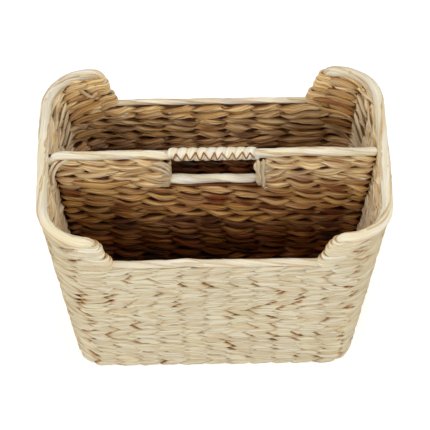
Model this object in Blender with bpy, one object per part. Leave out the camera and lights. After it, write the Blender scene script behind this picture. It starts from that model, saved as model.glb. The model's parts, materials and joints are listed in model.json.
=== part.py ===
"""Woven newspaper rack: a welded wire frame carrying twined walls, a twined base and a divider
whose top edge has a hand slot under a wound handle. Metres, +Z up, origin on the floor below the middle.
"""

import math

import bmesh
import bpy
from mathutils import Vector

# Outline of the rack, measured on the centre lines of its wires
RIM_WIDTH = 0.400
RIM_DEPTH = 0.252
RIM_HEIGHT = 0.286
RIM_CORNER = 0.052
BASE_WIDTH = 0.336
BASE_DEPTH = 0.212
BASE_CORNER = 0.030

# Dips in the middle of the front and rear walls
DIP_DEPTH = 0.052
LOW_HEIGHT = RIM_HEIGHT - DIP_DEPTH
FRONT_DIP_BOTTOM = 0.252
FRONT_DIP_TOP = 0.287
REAR_DIP_BOTTOM = 0.244
REAR_DIP_TOP = 0.283
DIP_CURVE = 0.008
SHOULDER_CURVE = 0.006

# Welded frame
RING_WIRE = 0.005
STAKE_WIRE = 0.003
BASE_WIRE_HEIGHT = 0.0045
FRONT_STAKES = 11
REAR_STAKES = 9
SIDE_STAKES = 5
RIB_SHARES = (-0.9, -0.3, 0.3, 0.9)
CROSS_WIRE = 0.004

# Woven work: the wall's stitches are low peaks on both of its faces, with hollows between them
STITCH_COVER = 0.0007
STITCH_RELIEF = 0.0022
WALL_ROWS = 26
CORNER_STITCHES = 4
BASE_WEAVE = 0.009
DIVIDER_WEAVE = 0.009
GAP = 0.0003
OVERRUN = 0.020

# Bound edges: each is a roll that is open underneath, where the weave comes in
RIM_ROLL = 0.012
DIVIDER_ROLL = 0.0096
ROLL_MOUTH = math.radians(50)

# Hand slot in the divider
SLOT_LENGTH = 0.100
SLOT_BAR_DEPTH = 0.047
SLOT_BAR_HEIGHT = RIM_HEIGHT - SLOT_BAR_DEPTH
LIP_ROLL = 0.0084
WRAP_LENGTH = 0.011
WRAP_DROP = 0.0172
WRAP_SHELL = 0.003
SHORT_STAKE_SPACING = 0.038
DIVIDER_STAKE_SHARES = (0, 0.353, 0.706)
SLOT_POST_INSET = 0.0065
END_POST_INSET = 0.006

# Wound strip round the handle
TURNS = 9.5
STRIP_THICKNESS = 0.0022
TURN_GAP = 0.0012

# Facets
CORNER_STEPS = 8
BEND_STEPS = 4
ROLL_STEPS = 8
TURN_STEPS = 24
STRIP_SIDES = 6
WIRE_RESOLUTION = 2

FINISHES = {
    "iron": ((0.06, 0.05, 0.045), 0.55, 0.9),
    "bleached_weave": ((0.60, 0.50, 0.33), 0.75, 0.0),
    "golden_weave": ((0.45, 0.31, 0.15), 0.75, 0.0),
    "bound_edge": ((0.74, 0.68, 0.52), 0.7, 0.0),
}


def clear_scene():
    """Remove every object of the open scene."""
    for item in list(bpy.data.objects):
        bpy.data.objects.remove(item, do_unlink=True)


def new_collection(name):
    """A collection of the scene with this name."""
    group = bpy.data.collections.new(name)
    bpy.context.scene.collection.children.link(group)
    return group


def new_material(name, finish):
    """A Principled material called name, with one of the finishes."""
    colour, roughness, metallic = FINISHES[finish]
    material = bpy.data.materials.new(name)
    material.use_nodes = True
    shader = material.node_tree.nodes["Principled BSDF"]
    shader.inputs["Base Color"].default_value = (*colour, 1)
    shader.inputs["Roughness"].default_value = roughness
    shader.inputs["Metallic"].default_value = metallic
    return material


def add_part(name, data, finish):
    """Put a mesh or a curve into the rack's collection as the sub-part called name."""
    part = bpy.data.objects.new(name, data)
    data.materials.append(new_material(name, finish))
    bpy.data.collections["woven_newspaper_rack"].objects.link(part)
    return part


def add_guide(name, data):
    """Put a mesh or a curve into the cutters' collection, hidden from the render."""
    guide = bpy.data.objects.new(name, data)
    guide.display_type = "WIRE"
    guide.hide_render = True
    bpy.data.collections["cutters"].objects.link(guide)
    return guide


def finish_solid(work, mesh):
    """Write a closed working mesh into the mesh with its faces pointing out."""
    bmesh.ops.recalc_face_normals(work, faces=work.faces)
    if work.calc_volume(signed=True) < 0:
        bmesh.ops.reverse_faces(work, faces=work.faces)
    work.to_mesh(mesh)
    work.free()
    return mesh


def as_mesh(item):
    """Turn a curve object's evaluated shape into a welded mesh and remove the curve."""
    bpy.context.view_layer.update()
    evaluated = item.evaluated_get(bpy.context.evaluated_depsgraph_get())
    mesh = bpy.data.meshes.new_from_object(evaluated)
    mesh.transform(item.matrix_world)
    bpy.data.objects.remove(item, do_unlink=True)
    work = bmesh.new()
    work.from_mesh(mesh)
    bmesh.ops.remove_doubles(work, verts=work.verts, dist=GAP / 10)
    return finish_solid(work, mesh)


def joined(name, meshes):
    """One cutter made of several closed meshes that stay clear of each other."""
    work = bmesh.new()
    for mesh in meshes:
        work.from_mesh(mesh)
    whole = bpy.data.meshes.new(name)
    work.to_mesh(whole)
    work.free()
    return add_guide(name, whole)


def combine(part, other, operation):
    """Give the part a live Boolean with another closed shape."""
    change = part.modifiers.new(other.name, "BOOLEAN")
    change.operation = operation
    change.solver = "EXACT"
    change.object = other


def cut(part, cutter):
    """Take the cutter's shape out of the part."""
    combine(part, cutter, "DIFFERENCE")


def weld(part, wires):
    """Join wires that cross the part into one welded piece."""
    combine(part, wires, "UNION")


def polyline(name, points, cyclic=False):
    """A 3D curve of straight runs through the points."""
    curve = bpy.data.curves.new(name, "CURVE")
    curve.dimensions = "3D"
    spline = curve.splines.new("POLY")
    spline.points.add(len(points) - 1)
    for place, point in zip(spline.points, points):
        place.co = (*point, 1)
    spline.use_cyclic_u = cyclic
    return curve


def rod(name, points, thickness, cyclic=False):
    """A round wire along the points, with its ends filled."""
    curve = polyline(name, points, cyclic)
    curve.bevel_depth = thickness / 2
    curve.bevel_resolution = WIRE_RESOLUTION
    curve.use_fill_caps = True
    return curve


def rod_mesh(points, thickness, cyclic=False):
    """A round wire along the points as a closed mesh."""
    return as_mesh(add_guide("wire", rod("wire", points, thickness, cyclic)))


def channel(points, thickness, cyclic=False):
    """The closed mesh of the room that a wire needs, a gap wider than the wire all round."""
    return rod_mesh(points, thickness + 2 * GAP, cyclic)


def plate(name, edge, thickness, middle):
    """An upright plate whose edge is given in X and Z, with its middle plane at Y = middle."""
    curve = bpy.data.curves.new(name, "CURVE")
    curve.dimensions = "2D"
    curve.fill_mode = "BOTH"
    curve.extrude = thickness / 2
    spline = curve.splines.new("POLY")
    spline.points.add(len(edge) - 1)
    for place, point in zip(spline.points, edge):
        place.co = (*point, 0, 1)
    spline.use_cyclic_u = True
    upright = add_guide(name, curve)
    upright.location.y = middle
    upright.rotation_euler.x = math.radians(90)
    return as_mesh(upright)


def block(name, low, high):
    """A box between two corners, as a mesh."""
    work = bmesh.new()
    bmesh.ops.create_cube(work, size=1)
    for vertex in work.verts:
        for axis in range(len(low)):
            middle = (low[axis] + high[axis]) / 2
            vertex.co[axis] = middle + vertex.co[axis] * (high[axis] - low[axis])
    return finish_solid(work, bpy.data.meshes.new(name))


def ring_solid(name, rings, hollow):
    """A closed solid between rings of as many points each: capped, or joined last to first if hollow."""
    work = bmesh.new()
    rows = [[work.verts.new(point) for point in ring] for ring in rings]
    pairs = list(zip(rows, rows[1:]))
    if hollow:
        pairs.append((rows[-1], rows[0]))
    else:
        work.faces.new(rows[0])
        work.faces.new(rows[-1])
    for lower, upper in pairs:
        for index in range(len(lower)):
            after = (index + 1) % len(lower)
            work.faces.new((lower[index], lower[after], upper[after], upper[index]))
    return finish_solid(work, bpy.data.meshes.new(name))


def plan(height, grow=0):
    """Half width, half depth and corner radius of the wall's middle line at a height, grown outwards."""
    rise = height / RIM_HEIGHT
    half_width = (BASE_WIDTH + (RIM_WIDTH - BASE_WIDTH) * rise) / 2
    half_depth = (BASE_DEPTH + (RIM_DEPTH - BASE_DEPTH) * rise) / 2
    corner = BASE_CORNER + (RIM_CORNER - BASE_CORNER) * rise
    return half_width + grow, half_depth + grow, corner + grow


def corner_point(height, angle, grow=0):
    """The point of the front right corner's arc at an angle: 0 faces +X, -90 degrees faces -Y."""
    half_width, half_depth, corner = plan(height, grow)
    return Vector((
        half_width - corner + corner * math.cos(angle),
        -half_depth + corner + corner * math.sin(angle),
        height,
    ))


def corner_arc(height, grow=0):
    """The front right corner from the front wall to the side wall."""
    angles = [math.radians(90) * (step / CORNER_STEPS - 1) for step in range(CORNER_STEPS + 1)]
    return [corner_point(height, angle, grow) for angle in angles]


def wall_side():
    """How far the wall's stitches stand out from its middle at their peaks, and at the hollows between
    them, which still cover the thickest wire."""
    hollow = RING_WIRE / 2 + GAP + STITCH_COVER
    return hollow + STITCH_RELIEF, hollow


def stitch_points(height, grow, shift):
    """A point for each stitch round the wall at a height, counter-clockwise from the front's left end.
    Shift moves each one on by a share of the way to the next."""
    half_width, half_depth, corner = plan(height, grow)
    across, along = half_width - corner, half_depth - corner
    middles = [Vector((x * across, y * along, height)) for x, y in ((-1, -1), (1, -1), (1, 1), (-1, 1))]
    points = []
    for quarter, count in enumerate((FRONT_STAKES, SIDE_STAKES, REAR_STAKES, SIDE_STAKES)):
        start, end = middles[quarter], middles[(quarter + 1) % len(middles)]
        facing = math.radians(90) * (quarter - 1)
        for index in range(count - 1):
            outward = Vector((math.cos(facing), math.sin(facing), 0))
            points.append(start.lerp(end, (index + shift) / (count - 1)) + outward * corner)
        for index in range(CORNER_STITCHES):
            angle = facing + math.radians(90) * (index + shift) / CORNER_STITCHES
            points.append(end + Vector((math.cos(angle), math.sin(angle), 0)) * corner)
    return points


def stitched_wall(name):
    """The closed shell of the wall: on both faces a quad for each stitch, raised to a peak at its middle."""
    peak_side, hollow_side = wall_side()
    levels = [RIM_HEIGHT * row / WALL_ROWS for row in range(WALL_ROWS + 1)]
    work = bmesh.new()
    faces = []
    for way in (1, -1):
        rows = [[work.verts.new(p) for p in stitch_points(z, hollow_side * way, 1 / 2)] for z in levels]
        for low, high, lower, upper in zip(levels, levels[1:], rows, rows[1:]):
            for index, peak in enumerate(stitch_points((low + high) / 2, peak_side * way, 0)):
                middle = work.verts.new(peak)
                edge = (lower[index - 1], lower[index], upper[index], upper[index - 1])
                for near, far in zip(edge, edge[1:] + edge[:1]):
                    work.faces.new((near, far, middle))
        faces.append(rows)
    outer, inner = faces
    for end in (0, -1):
        for index in range(len(outer[end])):
            outside = outer[end][index - 1], outer[end][index]
            work.faces.new((*outside, inner[end][index], inner[end][index - 1]))
    return finish_solid(work, bpy.data.meshes.new(name))


def outline(height, grow=0):
    """The whole rounded rectangle at a height, counter-clockwise from the front right corner."""
    arc = corner_arc(height, grow)
    right_rear = [Vector((p.x, -p.y, p.z)) for p in reversed(arc)]
    left_rear = [Vector((-p.x, -p.y, p.z)) for p in arc]
    left_front = [Vector((-p.x, p.y, p.z)) for p in reversed(arc)]
    return arc + right_rear + left_rear + left_front


def fillet(before, corner, after, radius):
    """Points of the arc that rounds a corner between two neighbours, in the plane of X and Z."""
    back = (before - corner).normalized()
    on = (after - corner).normalized()
    half = back.angle(on) / 2
    centre = corner + (back + on).normalized() * radius / math.sin(half)
    start = (corner + back * radius / math.tan(half) - centre).normalized()
    end = (corner + on * radius / math.tan(half) - centre).normalized()
    return [centre + start.slerp(end, step / BEND_STEPS) * radius for step in range(BEND_STEPS + 1)]


def dip_line(bottom_width, top_width, drop):
    """A wall's top line in X and Z from its middle to the rim's corner, a drop inside the rim wire's line."""
    run = (top_width - bottom_width) / 2
    rise = RIM_HEIGHT - LOW_HEIGHT
    aside = drop * (math.hypot(run, rise) - run) / rise
    middle = Vector((0, 0, LOW_HEIGHT - drop))
    low = Vector((bottom_width / 2 + aside, 0, LOW_HEIGHT - drop))
    high = Vector((top_width / 2 + aside, 0, RIM_HEIGHT - drop))
    half_width, _, corner = plan(RIM_HEIGHT)
    end = Vector((half_width - corner, 0, RIM_HEIGHT - drop))
    bend = fillet(middle, low, high, DIP_CURVE + drop)
    shoulder = fillet(low, high, high + Vector((RIM_WIDTH, 0, 0)), SHOULDER_CURVE - drop)
    return [middle] + bend + shoulder + [end]


def rim_quarter(bottom_width, top_width):
    """The rim wire's line from the middle of the front to the right side: points and outward directions."""
    line = dip_line(bottom_width, top_width, 0)[:-1]
    wall = [(Vector((p.x, -plan(p.z)[1], p.z)), Vector((0, -1, 0))) for p in line]
    arc = corner_arc(RIM_HEIGHT)
    half_width, half_depth, corner = plan(RIM_HEIGHT)
    middle = Vector((half_width - corner, corner - half_depth, RIM_HEIGHT))
    return wall + [(point, (point - middle).normalized()) for point in arc]


def mirrored(line, across, along):
    """A line of points and directions with its X and Y multiplied by 1 or -1."""
    turn = Vector((across, along, 1))
    return [(point * turn, outward * turn) for point, outward in line]


def rim_line():
    """The rim wire's whole line, counter-clockwise from the middle of the front."""
    front = rim_quarter(FRONT_DIP_BOTTOM, FRONT_DIP_TOP)
    rear = rim_quarter(REAR_DIP_BOTTOM, REAR_DIP_TOP)
    right_rear = mirrored(reversed(rear), 1, -1)
    left_rear = mirrored(rear[1:], -1, -1)
    left_front = mirrored(reversed(front[1:]), -1, 1)
    return front + right_rear + left_rear + left_front


def roll_profile(roll, wire):
    """Section of a bound edge, outwards and upwards: a ring round the wire, open at its mouth underneath."""
    outer = roll / 2
    inner = wire / 2 + GAP
    angles = [ROLL_MOUTH + (math.tau - 2 * ROLL_MOUTH) * step / ROLL_STEPS for step in range(ROLL_STEPS + 1)]
    outside = [(outer * math.sin(a), -outer * math.cos(a)) for a in angles]
    inside = [(inner * math.sin(a), -inner * math.cos(a)) for a in reversed(angles)]
    return outside + inside


def roll_seat(roll):
    """How far under the wire's centre line the weave ends, clear of the roll's lips."""
    return roll / 2 * math.cos(ROLL_MOUTH) + GAP


def bound_edge(name, line, roll, wire, cyclic):
    """A roll carried along a line, with its mouth kept underneath."""
    profile = roll_profile(roll, wire)
    rings = []
    for index, (point, outward) in enumerate(line):
        before = line[index - 1][0] if index or cyclic else point
        after = line[(index + 1) % len(line)][0] if cyclic or index + 1 < len(line) else point
        along = (after - before).normalized()
        side = (outward - along * outward.dot(along)).normalized()
        up = side.cross(along)
        up = up if up.z > 0 else -up
        rings.append([point + side * x + up * z for x, z in profile])
    return add_part(name, ring_solid(name, rings, cyclic), "bound_edge")


def level_line(reach, height):
    """The two ends of a line across the rack's middle, along X at a height."""
    return [Vector((-reach, 0, height)), Vector((reach, 0, height))]


def shares(count):
    """Places from -1 to 1, evenly spread."""
    return [2 * index / (count - 1) - 1 for index in range(count)]


def wall_stakes():
    """Name and place of every upright of the walls, as a function of height."""
    stakes = {}
    for wall, side, count in (("front", -1, FRONT_STAKES), ("rear", 1, REAR_STAKES)):
        for index, share in enumerate(shares(count), 1):
            def place(height, share=share, side=side):
                half_width, half_depth, corner = plan(height)
                return Vector(((half_width - corner) * share, half_depth * side, height))
            stakes[f"{wall}_stake_{index:02d}"] = place
    for index, share in enumerate(shares(SIDE_STAKES), 1):
        for wall, side in (("left", -1), ("right", 1)):
            def place(height, share=share, side=side):
                half_width, half_depth, corner = plan(height)
                return Vector((half_width * side, (half_depth - corner) * share, height))
            stakes[f"{wall}_stake_{index}"] = place
    for wall, depth_side in (("front", 1), ("rear", -1)):
        for hand, width_side in (("left", -1), ("right", 1)):
            def place(height, width_side=width_side, depth_side=depth_side):
                point = corner_point(height, -math.radians(45))
                return Vector((point.x * width_side, point.y * depth_side, height))
            stakes[f"corner_post_{wall}_{hand}"] = place
    return stakes


def stake_top(place):
    """Height of the rim wire above a stake, and how far below it the stake ends, more where it is steep."""
    point = place(LOW_HEIGHT)
    ring_seat = RING_WIRE / 2 + GAP
    if abs(point.y) < plan(LOW_HEIGHT)[1] - GAP:
        return RIM_HEIGHT, ring_seat
    foot, head = (FRONT_DIP_BOTTOM, FRONT_DIP_TOP) if point.y < 0 else (REAR_DIP_BOTTOM, REAR_DIP_TOP)
    run = (head - foot) / 2
    beyond_foot = abs(point.x) - foot / 2
    if beyond_foot < 0:
        return LOW_HEIGHT, ring_seat
    if beyond_foot > run + SHOULDER_CURVE:
        return RIM_HEIGHT, ring_seat
    steep_seat = (ring_seat * math.hypot(run, DIP_DEPTH) + STAKE_WIRE / 2 * DIP_DEPTH) / run
    return LOW_HEIGHT + DIP_DEPTH * min(beyond_foot / run, 1), steep_seat


def make_frame():
    """The welded wires of the walls and the base. Returns the channels that the weave needs for them."""
    ring_seat = RING_WIRE / 2 + GAP
    uprights = []
    for name, place in wall_stakes().items():
        lower = place(BASE_WIRE_HEIGHT)
        top, seat = stake_top(place)
        upper = place(top)
        along = (upper - lower).normalized()
        add_part(name, rod(name, [lower + along * ring_seat, upper - along * seat], STAKE_WIRE), "iron")
        uprights.append(channel([lower, upper + along * OVERRUN], STAKE_WIRE))
    add_part("rim_wire", rod("rim_wire", [point for point, _ in rim_line()], RING_WIRE, True), "iron")
    base_ring = outline(BASE_WIRE_HEIGHT)
    add_part("base_wire", rod("base_wire", base_ring, RING_WIRE, True), "iron")
    long_reach, short_reach, corner = plan(BASE_WIRE_HEIGHT)
    spine = level_line(long_reach - ring_seat, BASE_WIRE_HEIGHT)
    grid = add_part("base_grid", rod_mesh(spine, CROSS_WIRE), "iron")
    ribs = []
    rib_rooms = []
    for share in RIB_SHARES:
        across = share * (long_reach - corner)
        front = Vector((across, -short_reach, BASE_WIRE_HEIGHT))
        rear = Vector((across, short_reach, BASE_WIRE_HEIGHT))
        inwards = Vector((0, ring_seat, 0))
        ribs.append(rod_mesh([front + inwards, rear - inwards], STAKE_WIRE))
        rib_rooms.append(channel([front, rear], STAKE_WIRE))
    weld(grid, joined("base_ribs", ribs))
    return (
        joined("upright_channels", uprights),
        joined("rib_channels", rib_rooms),
        joined("spine_channel", [channel(level_line(long_reach, BASE_WIRE_HEIGHT), CROSS_WIRE)]),
        joined("base_ring_channel", [channel(base_ring, RING_WIRE, True)]),
    )


def make_wall_weave(uprights, ribs, spine, base_ring):
    """The twined wall: one shell round the rack that follows the rim's steps and dips."""
    wall = add_part("wall_weave", stitched_wall("wall_weave"), "bleached_weave")
    above = RIM_HEIGHT + OVERRUN
    wide = RIM_WIDTH
    for name, bottom_width, top_width, side in (
        ("front_top_cutter", FRONT_DIP_BOTTOM, FRONT_DIP_TOP, -1),
        ("rear_top_cutter", REAR_DIP_BOTTOM, REAR_DIP_TOP, 1),
    ):
        line = dip_line(bottom_width, top_width, roll_seat(RIM_ROLL))
        right = [(p.x, p.z) for p in line[1:-1]] + [(wide, line[-1].z)]
        edge = [(-x, z) for x, z in reversed(right)] + right + [(wide, above), (-wide, above)]
        reach = RIM_DEPTH
        cut(wall, add_guide(name, plate(name, edge, reach + OVERRUN, side * (reach - OVERRUN) / 2)))
    for wires in (uprights, ribs, spine, base_ring):
        cut(wall, wires)


def make_base_weave(ribs, spine):
    """The twined base inside the foot of the wall."""
    inset = -wall_side()[0] - GAP
    rings = [outline(0, inset), outline(BASE_WEAVE, inset)]
    base = add_part("base_weave", ring_solid("base_weave", rings, False), "golden_weave")
    cut(base, ribs)
    cut(base, spine)


def divider_half_width(height, inset):
    """Half the divider's width at a height: the peaks of the wall's inner face less an inset."""
    return plan(height)[0] - wall_side()[0] - inset


def make_divider_frame():
    """The wires of the divider. Returns the channels that its weave needs for them."""
    ring_seat = RING_WIRE / 2 + GAP
    stake_seat = STAKE_WIRE / 2 + GAP
    cross_seat = CROSS_WIRE / 2 + GAP
    foot = BASE_WEAVE + GAP
    bar_height = foot + CROSS_WIRE
    bar_end = plan(RIM_HEIGHT)[0] - ring_seat
    top_bar = level_line(bar_end, RIM_HEIGHT)
    add_part("divider_top_bar", rod("divider_top_bar", top_bar, RING_WIRE), "iron")

    uprights = []
    for hand, side in (("left", -1), ("right", 1)):
        def place(height, side=side):
            return Vector((divider_half_width(height, GAP + END_POST_INSET) * side, 0, height))
        name = f"divider_end_post_{hand}"
        add_part(name, rod(name, [place(foot), place(RIM_HEIGHT - ring_seat)], STAKE_WIRE), "iron")
        uprights.append(channel([place(foot - OVERRUN), place(RIM_HEIGHT)], STAKE_WIRE))

    bar_reach = divider_half_width(bar_height, GAP + END_POST_INSET) - stake_seat
    bottom_bar = level_line(bar_reach, bar_height)
    add_part("divider_bottom_bar", rod("divider_bottom_bar", bottom_bar, CROSS_WIRE), "iron")

    slot_post = SLOT_LENGTH / 2 + SLOT_POST_INSET
    end_post = divider_half_width(foot, GAP + END_POST_INSET)
    for hand, side in (("left", -1), ("right", 1)):
        for index, share in enumerate(DIVIDER_STAKE_SHARES, 1):
            across = side * (slot_post + (end_post - slot_post) * share)
            name = f"divider_stake_{hand}_{index}"
            lower = Vector((across, 0, bar_height))
            upper = Vector((across, 0, RIM_HEIGHT))
            ends = [lower + Vector((0, 0, cross_seat)), upper - Vector((0, 0, ring_seat))]
            add_part(name, rod(name, ends, STAKE_WIRE), "iron")
            uprights.append(channel([lower, upper], STAKE_WIRE))

    slot_bar = level_line(slot_post - stake_seat, SLOT_BAR_HEIGHT)
    slot_frame = add_part("slot_frame", rod_mesh(slot_bar, CROSS_WIRE), "iron")
    short_stakes = []
    for side in (-1, 1):
        across = side * SHORT_STAKE_SPACING / 2
        lower = Vector((across, 0, bar_height))
        upper = Vector((across, 0, SLOT_BAR_HEIGHT))
        short_stakes.append(rod_mesh([lower + Vector((0, 0, cross_seat)), upper], STAKE_WIRE))
        uprights.append(channel([lower, upper], STAKE_WIRE))
    weld(slot_frame, joined("slot_short_stakes", short_stakes))

    reach = divider_half_width(bar_height, GAP + END_POST_INSET)
    return (
        joined("divider_upright_channels", uprights),
        joined("bottom_bar_channel", [channel(level_line(reach, bar_height), CROSS_WIRE)]),
        joined("slot_bar_channel", [channel(level_line(slot_post, SLOT_BAR_HEIGHT), CROSS_WIRE)]),
    )


def slot_edges():
    """Half length of the gap in the divider's weave and the height of its floor, round the slot's trim."""
    return SLOT_LENGTH / 2 + WRAP_SHELL + GAP, SLOT_BAR_HEIGHT - LIP_ROLL / 2 - GAP


def make_divider_weave(uprights, bottom_bar, slot_bar):
    """The twined divider, notched from above for the hand slot."""
    foot = BASE_WEAVE + GAP
    top = RIM_HEIGHT - roll_seat(DIVIDER_ROLL)
    notch, notch_floor = slot_edges()
    right = [
        (divider_half_width(foot, GAP), foot),
        (divider_half_width(top, GAP), top),
        (notch, top),
        (notch, notch_floor),
    ]
    edge = right + [(-x, z) for x, z in reversed(right)]
    divider = add_part("divider_weave", plate("divider_weave", edge, DIVIDER_WEAVE, 0), "golden_weave")
    cut(divider, uprights)
    cut(divider, bottom_bar)
    cut(divider, slot_bar)


def make_bound_edges(uprights):
    """The roll round the rim, the roll along the divider's bar and the lip of the hand slot."""
    rim = bound_edge("rim_binding", rim_line(), RIM_ROLL, RING_WIRE, True)
    reach = plan(RIM_HEIGHT)[0]
    cut(rim, joined("top_bar_channel", [channel(level_line(reach, RIM_HEIGHT), RING_WIRE)]))
    bar = [(point, Vector((0, -1, 0))) for point in level_line(reach - RIM_ROLL / 2 - GAP, RIM_HEIGHT)]
    bound_edge("divider_binding", bar, DIVIDER_ROLL, RING_WIRE, False)

    half = SLOT_LENGTH / 2 - GAP
    lip = add_part("slot_lip", rod_mesh(level_line(half, SLOT_BAR_HEIGHT), LIP_ROLL), "bound_edge")
    bore = channel(level_line(half + OVERRUN, SLOT_BAR_HEIGHT), CROSS_WIRE)
    cut(lip, joined("slot_lip_bore", [bore]))
    cut(lip, uprights)


def winding_radius():
    """Radius of the middle of the handle's strip, wound on the divider's roll."""
    return DIVIDER_ROLL / 2 + GAP + STRIP_THICKNESS / 2


def strip_size():
    """Pitch of the handle's turns and the width that leaves the turn gap between them."""
    pitch = (SLOT_LENGTH - TURN_GAP) / (TURNS - 1)
    slope = math.hypot(math.tau * winding_radius(), pitch)
    width = pitch * math.tau * winding_radius() / slope - TURN_GAP
    return pitch, width


def make_slot_wraps(slot_bar):
    """A saddle round each end of the hand slot, over the weave's upright edge."""
    _, width = strip_size()
    top = RIM_HEIGHT - width - GAP
    side = winding_radius() + STRIP_THICKNESS / 2 + GAP
    notch, notch_floor = slot_edges()
    near = SLOT_LENGTH / 2
    far = near + WRAP_LENGTH
    weave_side = DIVIDER_WEAVE / 2 + GAP
    for hand, way in (("left", -1), ("right", 1)):
        name = f"slot_wrap_{hand}"
        xs = sorted((near * way, far * way))
        body = block(name, (xs[0], -side, SLOT_BAR_HEIGHT - WRAP_DROP), (xs[1], side, top))
        wrap = add_part(name, body, "bound_edge")
        outer = (far + OVERRUN) * way
        beside = sorted((way * (notch - GAP), outer))
        below = sorted((way * (near - OVERRUN), outer))
        room = block(name + "_room", (beside[0], -weave_side, 0), (beside[1], weave_side, RIM_HEIGHT))
        cut(wrap, add_guide(name + "_room", room))
        floor = notch_floor + GAP
        under = block(name + "_under", (below[0], -weave_side, 0), (below[1], weave_side, floor))
        cut(wrap, add_guide(name + "_under", under))
        cut(wrap, slot_bar)


def winding_path():
    """Centre, outward direction and width direction of each section of the handle's strip.

    The strip rises straight at the front of the handle, goes round the bar with a constant pitch,
    over the top and down behind, and ends straight down at the back.
    """
    pitch, width = strip_size()
    radius = winding_radius()
    length = pitch * TURNS
    slope = math.atan2(pitch, math.tau * radius)
    front = Vector((-length / 2, -radius, RIM_HEIGHT - width))
    sections = [(front, Vector((0, -1, 0)), Vector((1, 0, 0)))]
    steps = round(TURNS * TURN_STEPS)
    for step in range(steps + 1):
        angle = math.tau * step / TURN_STEPS
        outward = Vector((0, -math.cos(angle), math.sin(angle)))
        onward = Vector((0, math.sin(angle), math.cos(angle)))
        lean = 0 if step in (0, steps) else slope
        across = Vector((1, 0, 0)) * math.cos(lean) - onward * math.sin(lean)
        centre = Vector((-length / 2 + pitch * step / TURN_STEPS, 0, RIM_HEIGHT)) + outward * radius
        sections.append((centre, outward, across))
    last, outward, across = sections[-1]
    sections.append((last - Vector((0, 0, width)), outward, across))
    return sections


def make_handle_winding():
    """The flat strip wound round the middle of the divider's bar, with the least gap to itself printed."""
    _, width = strip_size()
    angles = [math.tau * index / STRIP_SIDES for index in range(STRIP_SIDES)]
    half_width = width / 2
    half_thickness = STRIP_THICKNESS / 2 / math.sin(angles[1])
    rings = []
    for centre, outward, across in winding_path():
        wide = across * half_width
        thick = outward * half_thickness
        rings.append([centre + wide * math.cos(angle) + thick * math.sin(angle) for angle in angles])
    add_part("handle_winding", ring_solid("handle_winding", rings, False), "bound_edge")
    half_turn = TURN_STEPS // 2
    gaps = []
    for index, ring in enumerate(rings):
        others = [point for other in rings[index + half_turn:] for point in other]
        gaps += [min((point - other).length for other in others) for point in ring if others]
    print("least gap of the handle winding to itself:", round(min(gaps), 5), "m")


def main():
    """Build the whole rack."""
    clear_scene()
    new_collection("woven_newspaper_rack")
    new_collection("cutters")
    uprights, ribs, spine, base_ring = make_frame()
    make_wall_weave(uprights, ribs, spine, base_ring)
    make_base_weave(ribs, spine)
    divider_uprights, bottom_bar, slot_bar = make_divider_frame()
    make_divider_weave(divider_uprights, bottom_bar, slot_bar)
    make_bound_edges(divider_uprights)
    make_slot_wraps(slot_bar)
    make_handle_winding()


main()
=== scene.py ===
"""Looks of the woven newspaper rack: twined walls, base and divider, bound edges, wound handle.

Laid out as a Blender add-on. Every woven piece is a tube whose surface is worked out on a grid of
two parameters: the way along the strand and the angle round it. Lengths are in metres.
"""

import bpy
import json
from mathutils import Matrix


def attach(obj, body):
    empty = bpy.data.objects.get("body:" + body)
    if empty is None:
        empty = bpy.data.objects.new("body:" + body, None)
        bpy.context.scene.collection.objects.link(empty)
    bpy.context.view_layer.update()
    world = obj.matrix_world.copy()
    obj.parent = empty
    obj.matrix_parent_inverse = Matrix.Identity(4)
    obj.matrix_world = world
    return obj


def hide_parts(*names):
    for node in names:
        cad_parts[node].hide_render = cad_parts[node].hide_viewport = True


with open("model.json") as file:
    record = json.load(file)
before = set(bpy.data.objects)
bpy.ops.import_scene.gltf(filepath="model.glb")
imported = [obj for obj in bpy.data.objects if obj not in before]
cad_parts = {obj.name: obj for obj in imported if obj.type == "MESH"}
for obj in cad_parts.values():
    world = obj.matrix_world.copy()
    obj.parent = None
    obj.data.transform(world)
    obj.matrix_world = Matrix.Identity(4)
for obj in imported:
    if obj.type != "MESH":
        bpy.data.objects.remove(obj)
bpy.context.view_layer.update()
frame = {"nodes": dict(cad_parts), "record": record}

import json
import math

import bpy
import numpy as np
from bpy.props import FloatProperty, FloatVectorProperty, IntProperty, PointerProperty
from mathutils import Matrix, Vector

bl_info = {
    "name": "Woven Newspaper Rack",
    "version": (1, 0, 0),
    "blender": (4, 5, 0),
    "location": "View3D > Sidebar > Rack",
    "description": "Builds the strands of a twined newspaper rack round its wire frame",
    "category": "Add Mesh",
}

BODY = "root"
TWINED = "twined_water_hyacinth"
BOUND = "bound_water_hyacinth"
MM = 0.001
WHITE = (1, 1, 1, 1)
TO_FRONT = (0, -1, 0)

# Seeds of the random spread of each step
SEEDS = {"wall": 7, "divider": 11, "base": 13, "edges": 17, "handle": 19, "slot": 23, "steps": 29, "loose": 31}

# Grid of a strand
RING_POINTS = 18
RING = math.tau * np.arange(RING_POINTS) / RING_POINTS
STEPS_A_STITCH = 12
LINE_STEP = 0.0025
GRAIN_HALF = 0.004
FLOOR_GAP = 0.0002

# Ways out of the middle of the work, from where a look starts to where it is full: the inner skin's golden colour,
# and the painted shade of open slits and of strand outlines
INNER_SKIN = (0.0015, -0.0015)
SLITS = (0.0040, 0.0028)
OUTLINES = (0.0026, 0.0008)

# Shade sheets: thin dark sheets inside the work, which close the chinks between strands and paint the shade seen
# through them
SHADE_SHEET_HALF = 0.0010
SHADE_SHEET_FOOT = 0.0015
SHADE_SHEET_LOOKS = (-0.3, 1, 1)

# The photo's camera, fitted to points on the rims, dips and base: degrees, metres and pixels
CAMERA_AZIMUTH, CAMERA_ELEVATION, CAMERA_ROLL = -0.941, 53.217, -0.102
CAMERA_TARGET, CAMERA_DISTANCE = (0.00158, 0, 0.16575), 2.41998
FOCAL_PIXELS, PHOTO_PIXELS, SENSOR_MM = 1974.8, 430, 36.0

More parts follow.
